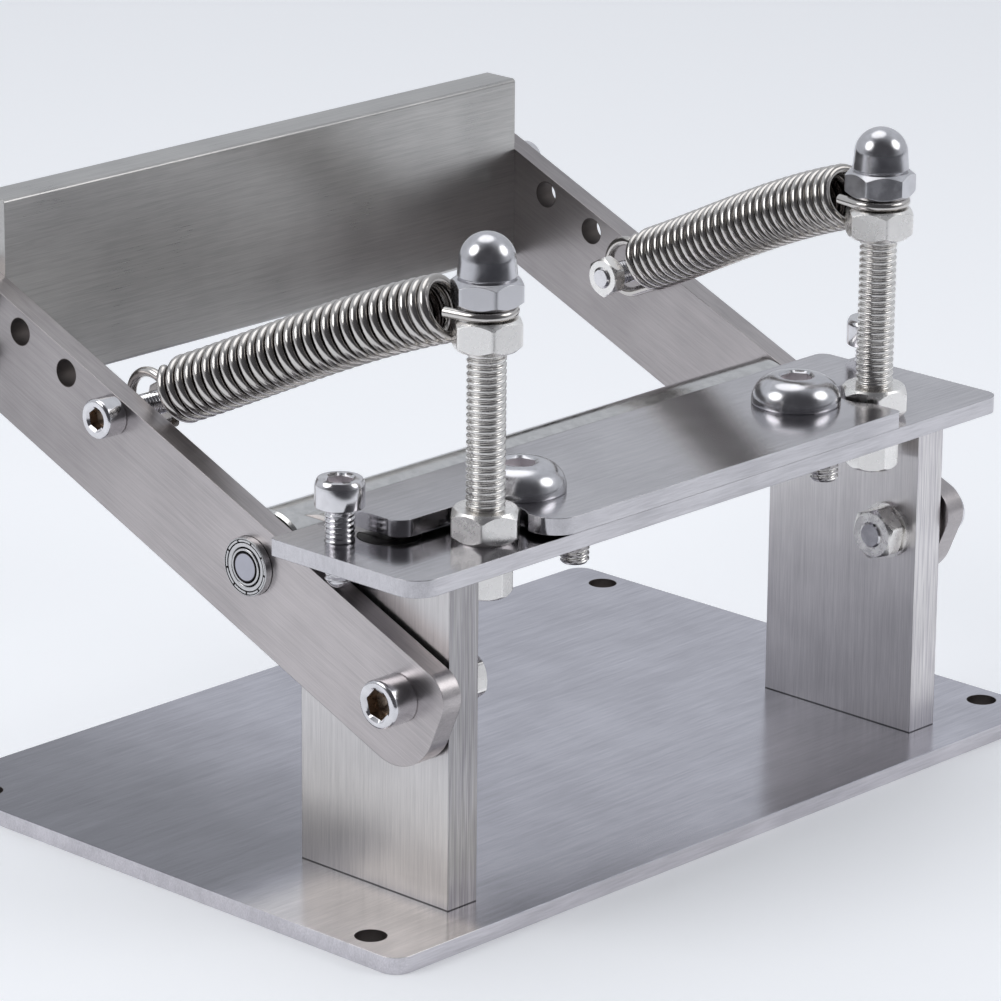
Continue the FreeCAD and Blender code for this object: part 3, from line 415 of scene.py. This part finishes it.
# A ring has no lids: the last row of its profile is followed by the first. Dark says which faces, by
# row and column, get painted shade, as grooves and gaps do.
def ringPiece(name, points, dark, node, body):
    return addPiece(name, points.reshape(-1, 3), gridFaces(*points.shape[:2], ring=True).tolist(),
                    ["bearing", "groove"], dark.ravel().astype(np.int32), node,
                    body, 35)


# Points on a piece's own axes, in mm with +Z out of its head, put where the machine has it.
def seat(points, centre, axis=(0, 0, 1), spin=0.0):
    turn = Vector(axis).to_track_quat("Z", "Y").to_matrix()
    turn = turn @ Matrix.Rotation(math.radians(spin), 3, "Z")
    return points @ np.array(turn).T * mm + np.array(centre)


def roundAngles(columns):
    return np.linspace(0, 2 * math.pi, columns, endpoint=False)


# A grid of points from their distance to the Z axis, the angle round it and their height.
def spread(reach, angle, height):
    reach, angle, height = np.broadcast_arrays(reach, angle, height)
    return np.stack([reach * np.cos(angle), reach * np.sin(angle), height], -1)


# Distance from the axis to a hexagon of flats one apart, with corners a little rounded: the
# power mean of the three pairs of flats.
def hexagon(angle, power=70):
    flats = np.radians([[0], [60], [120]])
    return 0.5 / np.sum(np.abs(np.cos(angle[None, :] - flats)) ** power, axis=0) ** (1 / power)


# Each profile row is (radius, height, share): the outline round the axis goes from a circle of
# that radius at share 0 to a hexagon of twice that distance across flats at share 1.
def turnedSurface(profile, columns=96):
    rows = np.array(profile, float)
    angle = roundAngles(columns)
    radius, height, share = rows[:, 0:1], rows[:, 1:2], rows[:, 2:3]
    return spread(radius * ((1 - share) + share * 2 * hexagon(angle)), angle, height)


# Thread: the radius falls from a flat crest to a flat root by a straight flank, as a wave of
# height less angle, and is held under a cone at both ends. Crest and root say where on the wave,
# from 0 to 1, the flank starts and ends.
def threadSurface(radius, low, high, pitch, depth, lead, columns=96, perTurn=8, crest=0.15,
                  root=0.88):
    angle = roundAngles(columns)
    count = int(math.ceil((high - low) / pitch * perTurn)) + 1
    height = np.linspace(low, high, count)[:, None]
    wave = np.abs(((height / pitch - angle / (2 * math.pi)) % 1) * 2 - 1)
    ridge = radius - depth * np.clip((wave - crest) / (root - crest), 0, 1)
    cone = radius - lead + np.minimum(height - low, high - height)
    return spread(np.minimum(ridge, cone), angle, height)


studLook = {"radius": 3.9, "pitch": 1.38, "depth": 0.5, "lead": 0.8, "crest": 0.38}


def makeStud(side):
    node = "stud_" + side
    look = studLook
    points = threadSurface(look["radius"], 0, tallOf(node), look["pitch"], look["depth"],
                           look["lead"], columns=56, perTurn=12, crest=look["crest"])
    gridPiece("threaded_" + node, seat(points, footOf(node)), "thread", node, sharp=60)


# Hexagon nuts. Flats is the distance across them, chamfer is how far the top ring stands inside
# the corners, as a share of that distance, and lip is the bevel of the bore.
nutLook = {"chamfer": 0.104, "slope": 0.8, "bore": 3.3, "lip": 0.5}
nutKinds = {"low_nut_": {"flats": 9.6, "slope": 0.8}, "base_nut_": {"flats": 13, "slope": 1.1},
            "eye_nut_": {"flats": 13, "slope": 0.9}}
sideNutKinds = {"pivot_nut_": {"flats": 10, "bore": 2.6, "spin": 10, "body": "frame"},
                "spring_nut_": {"flats": 8, "bore": 2.1, "spin": 0, "body": "lever"}}


# A nut: bore, flat ring, chamfer cone that meets the six flats in curves, and the flats. The
# chamfer's rows run from the ring to the flats' own distance at each angle, dropping by slope.
def nutSurface(flats, height, bore, slope=nutLook["slope"], columns=144):
    angle = roundAngles(columns)
    wall = flats * hexagon(angle)
    start = flats / math.sqrt(3) - nutLook["chamfer"] * flats
    reach = start + (wall - start) * np.linspace(0, 1, 7)[:, None]
    drop = slope * (reach - start)
    hole = np.full((1, columns), bore)
    mouth = hole + nutLook["lip"]
    radius = np.concatenate([hole, mouth, reach, reach[::-1], mouth, hole])
    level = np.concatenate([0 * hole, 0 * hole, drop, height - drop[::-1], 0 * hole + height,
                            0 * hole + height - nutLook["lip"]])
    return spread(radius, angle, level)


def spinOf(node):  # the turn that puts a hexagon's corner at the node's farthest one about Z
    mesh = cadNodes[node].data
    flat = np.zeros(len(mesh.vertices) * 3, np.float32)
    mesh.vertices.foreach_get("co", flat)
    spots = flat.reshape(-1, 3) - middle(node)
    far = spots[np.argmax(np.hypot(spots[:, 0], spots[:, 1]))]
    return math.degrees(math.atan2(far[1], far[0])) - 30


def makeNuts(side):
    for kind, shape in nutKinds.items():
        node = kind + side
        points = nutSurface(shape["flats"], tallOf(node), nutLook["bore"], shape["slope"])
        gridPiece("chamfered_" + node, seat(points, footOf(node), spin=spinOf(node)), "nut", node)


def makeSideNuts(side):
    for kind, shape in sideNutKinds.items():
        node = kind + side
        spot, wide = innerEnd(node, side)
        points = nutSurface(shape["flats"], wide, shape["bore"])
        gridPiece("chamfered_" + node, seat(points, spot, (sides[side], 0, 0), shape["spin"]), "nut",
                  node, shape["body"])


# Cap nut: hex is the height of its six flats, tall that of the neck over them, and edge rounds
# the barrel's foot.
capLook = {"flats": 13, "hex": 5.3, "neck": 0.4, "tall": 0.4, "dome": 5.62, "foot": 5.9,
           "bore": 3.3, "edge": 0.2}


# Six flats under a chamfer, a thin neck, a barrel that narrows a little and half a ball.
def makeCapNut(side):
    node = "cap_nut_" + side
    height = tallOf(node)
    nut = nutSurface(capLook["flats"], capLook["hex"], capLook["bore"])
    dome, foot, edge = capLook["dome"], capLook["foot"], capLook["edge"]
    neck, low = foot - capLook["neck"], capLook["hex"]
    high = low + capLook["tall"]
    barrel = [(neck + 0.4 * edge, low, 0), (neck, low - 0.6 * edge, 0), (neck, high, 0),
              (foot - 0.75 * edge, high + 0.15 * edge, 0), (foot, high + edge, 0),
              (dome, height - dome, 0)]
    barrel += [(dome * math.cos(a), height - dome + dome * math.sin(a), 0)
               for a in np.linspace(0, math.pi / 2, 24)[1:-1]]
    points = np.concatenate([nut[:-2], turnedSurface(barrel, nut.shape[1])])
    gridPiece("domed_" + node, seat(points, footOf(node), spin=spinOf(node)), "dome", node, sharp=30)


# Screws with a hexagon socket. Head and shank are radii, rim is the height at which the head's
# rounding starts, socket is measured across flats, and spin turns the socket, in degrees. Ball is
# the height of a ball tip.
screwLook = {
    "clamp_screw_": {"head": 9.35, "rim": 0.7, "tall": 5.8, "socket": 6, "deep": 3.2, "shank": 4,
                     "pitch": 1.25, "shape": "dome", "inside": "litSocket",
                     "spin": {"left": 12, "right": 30}},
    "adjust_screw_": {"head": 5, "rim": 4.6, "tall": 5.7, "socket": 5, "deep": 3, "shank": 3,
                      "pitch": 1.07, "shape": "slant", "slant": 0.5, "inside": "litSocket",
                      "spin": 8, "depth": 0.26, "lead": 0.35, "ball": 1.7},
    "pivot_screw_": {"head": 4.95, "rim": 5.5, "tall": 6.3, "socket": 5.5, "deep": 3.2, "shank": 3,
                     "pitch": 1.0, "shape": "round", "inside": "shadedSocket", "spin": 18,
                     "body": "frame"},
    "spring_screw_": {"head": 4.15, "rim": 4.2, "tall": 4.9, "socket": 4, "deep": 2.5, "shank": 2.5,
                      "pitch": 0.8, "shape": "round", "inside": "shadedSocket", "spin": 8,
                      "body": "lever"},
    "plate_screw_": {"head": 4.25, "rim": 4.3, "tall": 5.0, "socket": 4, "deep": 2.5, "shank": 2.5,
                     "pitch": 0.8, "shape": "round", "inside": "shadedSocket", "spin": (20, 45)},
}
# Under rounds the head's underside, mouth is how far the bevel reaches past the socket's corners, ring
# is the flat ring round it, and the last rows have the socket's finish: painted shade in a deep socket,
# painted light in an open one.
socketLook = {"under": 0.25, "mouth": 0.35, "ring": 0.3, "bevel": 0.42, "rows": 4}
threadShare, screwTip = 0.42, 0.6  # a thread's depth as a share of its pitch, and a tip's cone


# Head and socket of a screw that stands on height 0: rounded underside, rim, dome, slant or
# rounded edge, flat ring, a small bevel into the socket, six walls and a drilled cone.
def headSurface(look):
    head, rim, tall, half = look["head"], look["rim"], look["tall"], look["socket"] / 2
    under = socketLook["under"]
    mouth = half * 2 / math.sqrt(3) + socketLook["mouth"]
    rows = [(look["shank"] * 0.9, 0, 0), (head - under, 0, 0)]
    rows += [(head - under + under * math.sin(a), under - under * math.cos(a), 0)
             for a in np.linspace(0.2, math.pi / 2, 4)]
    if look["shape"] == "dome":
        ring = mouth + socketLook["ring"]
        span, rise = head - ring, tall - rim
        radius = (span * span + rise * rise) / (2 * rise)
        rows += [(ring + radius * math.sin(a), tall - radius + radius * math.cos(a), 0)
                 for a in np.linspace(math.asin(min(1, span / radius)), 0, 20)]
    elif look["shape"] == "slant":
        top = head - look["slant"]
        rows += [(head, rim - 0.1, 0), (head - 0.06, rim + 0.12, 0), (top + 0.06, tall - 0.14, 0),
                 (top - 0.1, tall, 0)]
    else:
        edge = tall - rim
        rows.append((head, rim - 0.15, 0))
        rows += [(head - edge + edge * math.cos(a), rim + edge * math.sin(a), 0)
                 for a in np.linspace(0, math.pi / 2, 7)]
    floor = tall - look["deep"]
    rows += [(mouth, tall, 0), (half, tall - socketLook["bevel"], 1), (half, floor, 1),
             (half * 0.9, floor - 0.02, 1), (0.3, floor - half * 0.3, 1)]
    return turnedSurface(rows)


def screwPiece(name, look, length, finish, body, node, centre, axis, spin):
    thread = threadSurface(look["shank"], -length, 0, look["pitch"], look["pitch"] * threadShare,
                           screwTip)
    points = np.concatenate([thread[:-1], headSurface(look)])
    gridPiece(name, seat(points, centre, axis, spin), finish, node, body, sharp=32,
              inner=(socketLook["rows"], look["inside"]))


# Where the head of an upright screw stands, in metres, and its shank's length in mm.
def underHead(node, look):
    x, y, low = footOf(node)
    length = tallOf(node) - look["tall"]
    return (x, y, low + length * mm), length


def makeClampScrew(side):
    node = "clamp_screw_" + side
    look = screwLook["clamp_screw_"]
    spot, length = underHead(node, look)
    screwPiece("button_" + node, look, length, "dome", "frame", node, spot, (0, 0, 1),
               look["spin"][side])


# The tip is a ball as wide as the shank, cut off where the thread starts.
def makeAdjustScrew(side):
    node = "adjust_screw_" + side
    look = screwLook["adjust_screw_"]
    spot, length = underHead(node, look)
    thread = threadSurface(look["shank"], look["ball"] - length, 0, look["pitch"], look["depth"],
                           look["lead"])
    radius = look["shank"]
    tip = turnedSurface([(radius * math.sin(a), radius - length - radius * math.cos(a), 0)
                         for a in np.linspace(0.1, 1.1, 10)])
    points = np.concatenate([tip, thread[1:-1], headSurface(look)])
    gridPiece("threaded_" + node, seat(points, spot, spin=look["spin"]), "chrome", node,
              "adjust_" + side, sharp=32, inner=(socketLook["rows"], look["inside"]))


# A screw that lies along X with its head out, at a height in metres.
def makeSideScrew(name, node, kind, side, body, height, spin):
    look = screwLook[kind]
    (inner, y, _), wide = innerEnd(node, side)
    length = wide - look["tall"]
    spot = (inner + sides[side] * length * mm, y, height)
    screwPiece(name, look, length, "chrome", body, node, spot, (sides[side], 0, 0), spin)


def makeSideScrews(side):
    for kind in ("pivot_screw_", "spring_screw_"):
        node, look = kind + side, screwLook[kind]
        makeSideScrew("socket_" + node, node, kind, side, look["body"], middle(node)[2], look["spin"])


# The two screws of a side are one node, so each stands a head's radius in from an end of its box.
def makePlateScrews(side):
    node, look = "plate_screws_" + side, screwLook["plate_screw_"]
    low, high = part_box(node)
    heights = (low.z + look["head"] * mm, high.z - look["head"] * mm)
    for number, (height, spin) in enumerate(zip(heights, look["spin"]), 1):
        makeSideScrew("socket_plate_screw_%s_%d" % (side, number), node, "plate_screw_", side,
                      "lever", height, spin)


heelLook = {"shank": 3.0, "pitch": 1.1, "depth": 0.42, "tip": 0.7, "socket": 3, "deep": 3.2}


# A headless screw with its socket at the lower end.
def makeHeelScrew(side):
    node = "heel_screw_" + side
    half, deep = heelLook["socket"] / 2, heelLook["deep"]
    thread = threadSurface(heelLook["shank"], 0, tallOf(node), heelLook["pitch"], heelLook["depth"],
                           heelLook["tip"])
    mouth = turnedSurface([(half * 0.8, deep + 0.1, 0), (half, deep, 1), (half, 0.25, 1),
                           (half + 0.35, 0.02, 0), (half + 0.5, 0.02, 0)])
    gridPiece("threaded_" + node, seat(np.concatenate([mouth, thread[1:]]), footOf(node)), "thread",
              node)


bedScrewLook = {"head": 6.2, "cone": 3.3, "neck": 3.7, "shank": 3.0, "pitch": 1.0, "depth": 0.42,
                "socket": 4, "deep": 2.3, "spin": 15, "inside": "litSocket", "rows": 5}


# A countersunk screw under height 0: thread, neck, cone, rim, flat face, bevel and socket. Its socket
# is pale on the black head, a painted highlight.
def makeBedScrew(side):
    node = "bed_screw_" + side
    look = bedScrewLook
    x, y, low = footOf(node)
    length = tallOf(node)
    shank, rim, half, deep = look["shank"], look["head"], look["socket"] / 2, look["deep"]
    thread = threadSurface(shank, -length, -look["neck"], look["pitch"], look["depth"], screwTip)
    head = turnedSurface([(shank + 0.1, -look["cone"], 0), (rim - 0.1, -0.3, 0), (rim, -0.22, 0),
                          (rim, -0.02, 0), (rim - 0.1, 0, 0), (half + 0.75, 0, 0),
                          (half + 0.6, -0.05, 0), (half, -0.45, 1), (half, -deep, 1),
                          (half * 0.6, -deep - 0.1, 0.4), (0.2, -deep - 0.7, 0)])
    points = np.concatenate([thread[:-1], head])
    gridPiece("countersunk_" + node, seat(points, (x, y, low + length * mm), spin=look["spin"]),
              "black", node, sharp=28, inner=(look["rows"], look["inside"]))


# Bearings. The first six are radii; notch is how much of each of the lip's equal stretches has painted
# shade, and line is the width of the painted shadow line at the arm's face.
bearingLook = {"outer": 6.0, "land": 5.72, "crimp": 5.14, "shieldOut": 5.0, "shieldMid": 4.5,
               "shieldIn": 4.05, "notches": 9, "notch": 0.16, "line": 0.14, "spin": 12}
raceLook = {"outer": 3.8, "hole": 3.02, "bevel": 0.32}


# Outer ring with a rounded rim, a crimped lip broken by short notches of painted shade, and a dished
# shield. Each profile row is (radius, height, dark), where dark is 1 if the face before the row has
# painted shade all round, as in a groove or at the arm's face, or the share of it that has it.
def makeBearing(side):
    node, race = "bearing_ring_" + side, "bearing_race_" + side
    look = bearingLook
    spot, wide = innerEnd(node, side)
    proud = outerFace(node, side) - outerFace("arm_" + side, side)
    outer, land, crimp = look["outer"], look["land"], look["crimp"]
    shieldOut, shieldIn = look["shieldOut"], look["shieldIn"]
    rows = [(shieldIn, wide - 0.75, 0), (shieldIn, wide - 0.32, 0),
            (shieldIn + 0.1, wide - 0.2, 0), (look["shieldMid"], wide - 0.12, 0),
            (shieldOut - 0.1, wide - 0.15, 0), (shieldOut, wide - 0.5, 1),
            (crimp - 0.04, wide - 0.5, 1), (crimp, wide - 0.1, 1),
            (land - 0.16, wide - 0.08, look["notch"]), (land - 0.14, wide - 0.4, 1),
            (land - 0.03, wide - 0.4, 1), (land, wide, 1), (outer - 0.18, wide, 0),
            (outer - 0.06, wide - 0.07, 0), (outer, wide - 0.25, 0),
            (outer, wide - proud + look["line"], 0), (outer, wide - proud, 1), (outer, 0.25, 0),
            (outer - 0.2, 0, 0), (shieldIn, 0, 0), (shieldIn, 0.5, 0)]
    radius, level, share = np.split(np.array(rows)[::-1], 3, axis=1)
    angle = roundAngles(216)
    near = np.abs(((angle * look["notches"] / (2 * math.pi)) % 1) - 0.5) * 2
    ringPiece("shielded_" + node,
              seat(spread(radius, angle, level), spot, (sides[side], 0, 0), look["spin"]),
              (share == 1) | (near < share), node, "lever")
    hole, outer, bevel = raceLook["hole"], raceLook["outer"], raceLook["bevel"]
    rows = [(hole, 0, 0), (outer, 0, 0), (outer, wide - 0.12, 0), (outer - 0.1, wide - 0.02, 0),
            (hole + bevel, wide - 0.02, 0), (hole, wide - 0.02 - bevel, 0)]
    points = turnedSurface(rows)
    dark = np.zeros(points.shape[:2], bool)
    # Painted shade on the bevel into the hole.
    dark[-2] = True  # the bevel into the hole
    spot, _ = innerEnd(race, side)
    ringPiece("rounded_" + race, seat(points, spot, (sides[side], 0, 0)), dark, race, "roller")


# Springs: coil and hook are radii to the middle of the wire, wire is its own radius, neck and
# lift are the coil's distance along the spring and above the hook at each end, bow is how far the
# coil arches, inset is the hook's distance inside the arm, and angles are in degrees.
springLook = {"coil": 5.95, "hook": 5.75, "wire": 1.05, "pitch": 2.52, "neck": 8.6, "lift": -0.1,
              "frontNeck": 9.2, "frontLift": 2.8, "bow": 1.1, "hookSlope": 49, "tail": 5.3,
              "lead": 2.2, "rearLead": 0.8, "rearClose": 40, "inset": 4.2, "slack": 0.2,
              "swing": 35, "mouth": 7, "mouthShade": 0.5, "perTurn": 36, "round": 14}


def unit(vector):
    return vector / np.linalg.norm(vector)


# Hook: a straight tail, half a turn about its centre away from the coil, closed further by an
# angle, then a straight lead towards the coil. Also the way it leaves in and the loop's end.
def hookLine(centre, toward, normal, lead, close, look):
    toward = unit(toward - normal * np.dot(toward, normal))
    across = np.cross(normal, toward)
    end = 1.5 * math.pi + math.radians(close)
    angle = np.linspace(0.5 * math.pi, end, 48)[:, None]
    loop = centre + look["hook"] * (toward * np.cos(angle) + across * np.sin(angle))
    way = across * math.cos(end) - toward * math.sin(end)
    tail = loop[0] + toward * np.linspace(look["tail"], 0, 8)[:-1, None]
    straight = loop[-1] + way * np.linspace(0, lead, 6)[1:, None]
    return np.concatenate([tail, loop, straight]), way, loop[-1]


# Cubic curve that leaves one end and reaches the other along given directions.
def bendLine(start, startWay, end, endWay, count=16, pull=0.45):
    reach = np.linalg.norm(end - start) * pull
    second, third = start + startWay * reach, end - endWay * reach
    t = np.linspace(0, 1, count)[1:-1, None]
    return (start * (1 - t) ** 3 + second * 3 * t * (1 - t) ** 2 + third * 3 * t * t * (1 - t)
            + end * t ** 3)


# Wire line: rear hook, bend, helix (axis point plus the coil radius turning evenly, bowed upwards
# by a cubic hump of the share along it, 1 at its top), bend, front hook. Also the helix's ends.
def springLine(rear, front, look):
    low, high = rear + [0, 0, look["lift"]], front + [0, 0, look["frontLift"]]
    axis = unit(high - low)
    first, last = low + axis * look["neck"], high - axis * look["frontNeck"]
    rearHook, rearWay, rearEnd = hookLine(rear, axis, np.array([1.0, 0, 0]), look["rearLead"],
                                          look["rearClose"], look)
    frontHook, frontWay, frontEnd = hookLine(front, -axis, np.array([0, 0, 1.0]), look["lead"], 0,
                                             look)
    frontHook = frontHook[::-1]
    side, leave = [unit(spot - axis * np.dot(spot, axis)) for spot in (rearEnd - rear,
                                                                       frontEnd - front)]
    other = np.cross(axis, side)
    swing = math.radians(look["swing"])  # the coil starts and ends this far past the hooks' ends
    phase = math.atan2(np.dot(leave, other), np.dot(leave, side)) - 2 * swing
    turns = round(np.linalg.norm(last - first) / look["pitch"] - phase / (2 * math.pi))
    sweep = 2 * math.pi * turns + phase
    share = np.linspace(0, 1, round(look["perTurn"] * sweep / (2 * math.pi)) + 1)[:, None]
    angle = swing + sweep * share
    upward = unit(np.array([0, 0, 1.0]) - axis * axis[2])
    hump = 27 / 4 * share ** 2 * (1 - share)
    coil = (first + (last - first) * share + look["bow"] * hump * upward
            + look["coil"] * (side * np.cos(angle) + other * np.sin(angle)))
    runIn = bendLine(rearHook[-1], rearWay, coil[0], unit(coil[1] - coil[0]))
    runOut = bendLine(coil[-1], unit(coil[-1] - coil[-2]), frontHook[0], -frontWay)
    return np.concatenate([rearHook, runIn, coil, runOut, frontHook]), first, last


# Round wire carried along a line: each ring stands square to the line, and its frame is the one before,
# turned as little as the line turns. Also how far each point faces away from the coil's axis, from -1
# to 1, which sets the painted shade between the turns; on the hooks it is 1, and it has a least value
# in the coil's mouth, where the painted shade is lighter.
def wireSurface(line, first, last, look):
    way = np.gradient(line, axis=0)
    way /= np.linalg.norm(way, axis=1)[:, None]
    side = np.zeros_like(way)
    side[0] = unit(np.cross(way[0], [0.3, 0.2, 1.0]))
    for number in range(1, len(way)):
        side[number] = unit(side[number - 1] - way[number] * np.dot(side[number - 1], way[number]))
    above = np.cross(way, side)
    angle = roundAngles(look["round"])[None, :, None]
    spoke = side[:, None] * np.cos(angle) + above[:, None] * np.sin(angle)
    axis = unit(last - first)
    along = (line - first) @ axis
    away = line - first - along[:, None] * axis
    away /= np.linalg.norm(away, axis=1)[:, None]
    outward = np.sum(spoke * away[:, None], axis=2)
    length = np.linalg.norm(last - first)
    mouth = along > length - look["mouth"]
    outward[mouth] = np.maximum(outward[mouth], look["mouthShade"])
    outward[(along < -1) | (along > length + 1)] = 1
    return line[:, None] + look["wire"] * spoke, outward


# Each hook's centre is set so that its loop clears the screw or the stud by the slack. The front
# hook lies on the nut under the cap nut.
def makeSpring(side):
    node = "spring_" + side
    look = springLook
    screw, stud = middle("spring_screw_" + side) / mm, middle("stud_" + side) / mm
    screw[0] = sides[side] * (outerFace("handle_plate", side) - look["inset"])
    stud[2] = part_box("eye_nut_" + side)[1].z / mm + look["slack"] + look["wire"]
    slope = math.radians(look["hookSlope"])
    rearPull = np.array([0, -math.cos(slope), math.sin(slope)])
    frontPull = unit((stud - screw) * [1, 1, 0])
    free = look["hook"] - look["wire"] - look["slack"]
    rear = screw + rearPull * (free - screwLook["spring_screw_"]["shank"])
    front = stud - frontPull * (free - studLook["radius"])
    line, first, last = springLine(rear, front, look)
    points, outward = wireSurface(line, first, last, look)
    piece = gridPiece("round_wire_" + node, points * mm, "spring", node, None, 80)
    # Outward sets the wire's painted shade.
    shade = piece.data.attributes.new("outward", "FLOAT", "POINT")
    shade.data.foreach_set("value", np.append(outward.ravel(), [1, 1]).astype(np.float32))
    last * mm
    first * mm
    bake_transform(piece)


for sideName in sides:
    for make in (makeStud, makeNuts, makeCapNut, makeClampScrew, makeAdjustScrew, makeHeelScrew,
                 makeBedScrew, makeSideScrews, makePlateScrews, makeSideNuts, makeBearing,
                 makeSpring):
        make(sideName)
print("new pieces made")

# Floor, light and camera. A zone is the two distances, or the two heights, between which a tone
# sets in; lamps are told by the way they stand in, their distance in metres and their watts.
studio = {
    "floor": (0.9, 0.915, 0.945, 1), "floorFar": (0.1, 0.1, 0.11, 1), "floorReach": 4.0,
    "floorRough": 0.55, "glow": 0.25, "farWay": (-0.3, -0.95, 0), "farZone": (0.32, 0.44),
    "sky": (0.78, 0.81, 0.86, 1), "skyLow": (0.72, 0.74, 0.78, 1), "skyZone": (-0.2, 0.7),
    "shade": (0.1, 0.1, 0.11, 1), "shadeWay": (-0.69, -0.65, 0.31), "shadeZone": (-0.1, 0.8),
    "world": 0.8, "aim": (0, 0, 0.06),
    "lamps": {"leftBox": {"from": (-0.673, 0.334, 0.645), "away": 0.9, "size": 0.55, "power": 2.0},
              "rightBox": {"from": (0.468, -0.652, 0.579), "away": 0.9, "size": 0.5, "power": 1.3},
              "topBox": {"from": (0.15, 0.25, 1.0), "away": 1.2, "size": 0.9, "power": 2.2}},
    "lens": 195.75, "sensor": 36, "clip": (0.05, 20), "eye": (-0.7886, -0.7446, 0.4076),
    "right": (0.68831683, -0.72535959, 0.008568), "above": (0.21703842, 0.21719614, 0.95169331),
    "ahead": (0.69218081, 0.65320694, -0.30693065),
}


# The floor glows a little to the camera. Mirrored in the steel it glows near the machine only,
# and its paint is dark beyond.
def makeFloor():
    mesh = bpy.data.meshes.new("floor")
    reach = studio["floorReach"]
    mesh.from_pydata([(-reach, -reach, 0), (reach, -reach, 0), (reach, reach, 0),
                      (-reach, reach, 0)], [], [(0, 1, 2, 3)])
    material = bpy.data.materials.new("floorPaint")
    finish = Finish(material)
    seen = finish.add("ShaderNodeLightPath", output=0)
    mirrored = finish.add("ShaderNodeLightPath", output=3) + finish.add("ShaderNodeLightPath",
                                                                        output=6)
    away = finish.vector("DOT_PRODUCT", finish.place(), studio["farWay"], 1)
    far = finish.ease(away, *studio["farZone"])
    paint = finish.blend(mirrored * far, studio["floor"], studio["floorFar"])
    lit = finish.blend((seen + mirrored * (1 - far)) * studio["glow"], (0, 0, 0, 1),
                       studio["floor"])
    shader = finish.add("ShaderNodeBsdfPrincipled", {}, {
        "Base Color": paint, "Roughness": studio["floorRough"], "Emission Color": lit,
        "Emission Strength": 1.0})
    finish.add("ShaderNodeOutputMaterial", {}, {0: shader})
    mesh.materials.append(material)
    floor = bpy.data.objects.new("floor", mesh)
    bpy.context.scene.collection.objects.link(floor)


# The world is pale all round. On the camera's side polished metal mirrors a dim patch, which the
# camera itself doesn't see.
def makeWorld():
    world = bpy.data.worlds.new("studio")
    bpy.context.scene.world = world
    finish = Finish(world)
    way = finish.add("ShaderNodeTexCoord", output=0)
    height = finish.add("ShaderNodeSeparateXYZ", {}, {0: way}, 2)
    sky = finish.blend(finish.ease(height, *studio["skyZone"]), studio["skyLow"], studio["sky"])
    toward = finish.vector("DOT_PRODUCT", way, studio["shadeWay"], 1)
    dim = finish.ease(toward, *studio["shadeZone"])
    seen = finish.add("ShaderNodeLightPath", output=0)
    shown = finish.blend(dim * (1 - seen), sky, studio["shade"])
    glow = finish.add("ShaderNodeBackground", {}, {0: shown, 1: studio["world"]})
    finish.add("ShaderNodeOutputWorld", {}, {0: glow})


def makeLamp(name, look):
    data = bpy.data.lights.new(name, "AREA")
    data.shape = "DISK"
    data.size = look["size"]
    data.energy = look["power"]
    lamp = bpy.data.objects.new(name, data)
    bpy.context.scene.collection.objects.link(lamp)
    way = Vector(look["from"]).normalized()
    lamp.location = Vector(studio["aim"]) + way * look["away"]
    lamp.rotation_euler = way.to_track_quat("Z", "Y").to_euler()


def makeCamera():
    data = bpy.data.cameras.new("camera")
    data.sensor_width = studio["sensor"]
    data.lens = studio["lens"]
    data.clip_start, data.clip_end = studio["clip"]
    camera = bpy.data.objects.new("camera", data)
    bpy.context.scene.collection.objects.link(camera)
    axes = Matrix((studio["right"], studio["above"], -Vector(studio["ahead"])))
    camera.matrix_world = Matrix.Translation(studio["eye"]) @ axes.transposed().to_4x4()
    bpy.context.scene.camera = camera


makeFloor()
makeWorld()
for lampName, lampLook in studio["lamps"].items():
    makeLamp(lampName, lampLook)
makeCamera()
bpy.context.scene.view_settings.view_transform = "Standard"
print("studio ready")
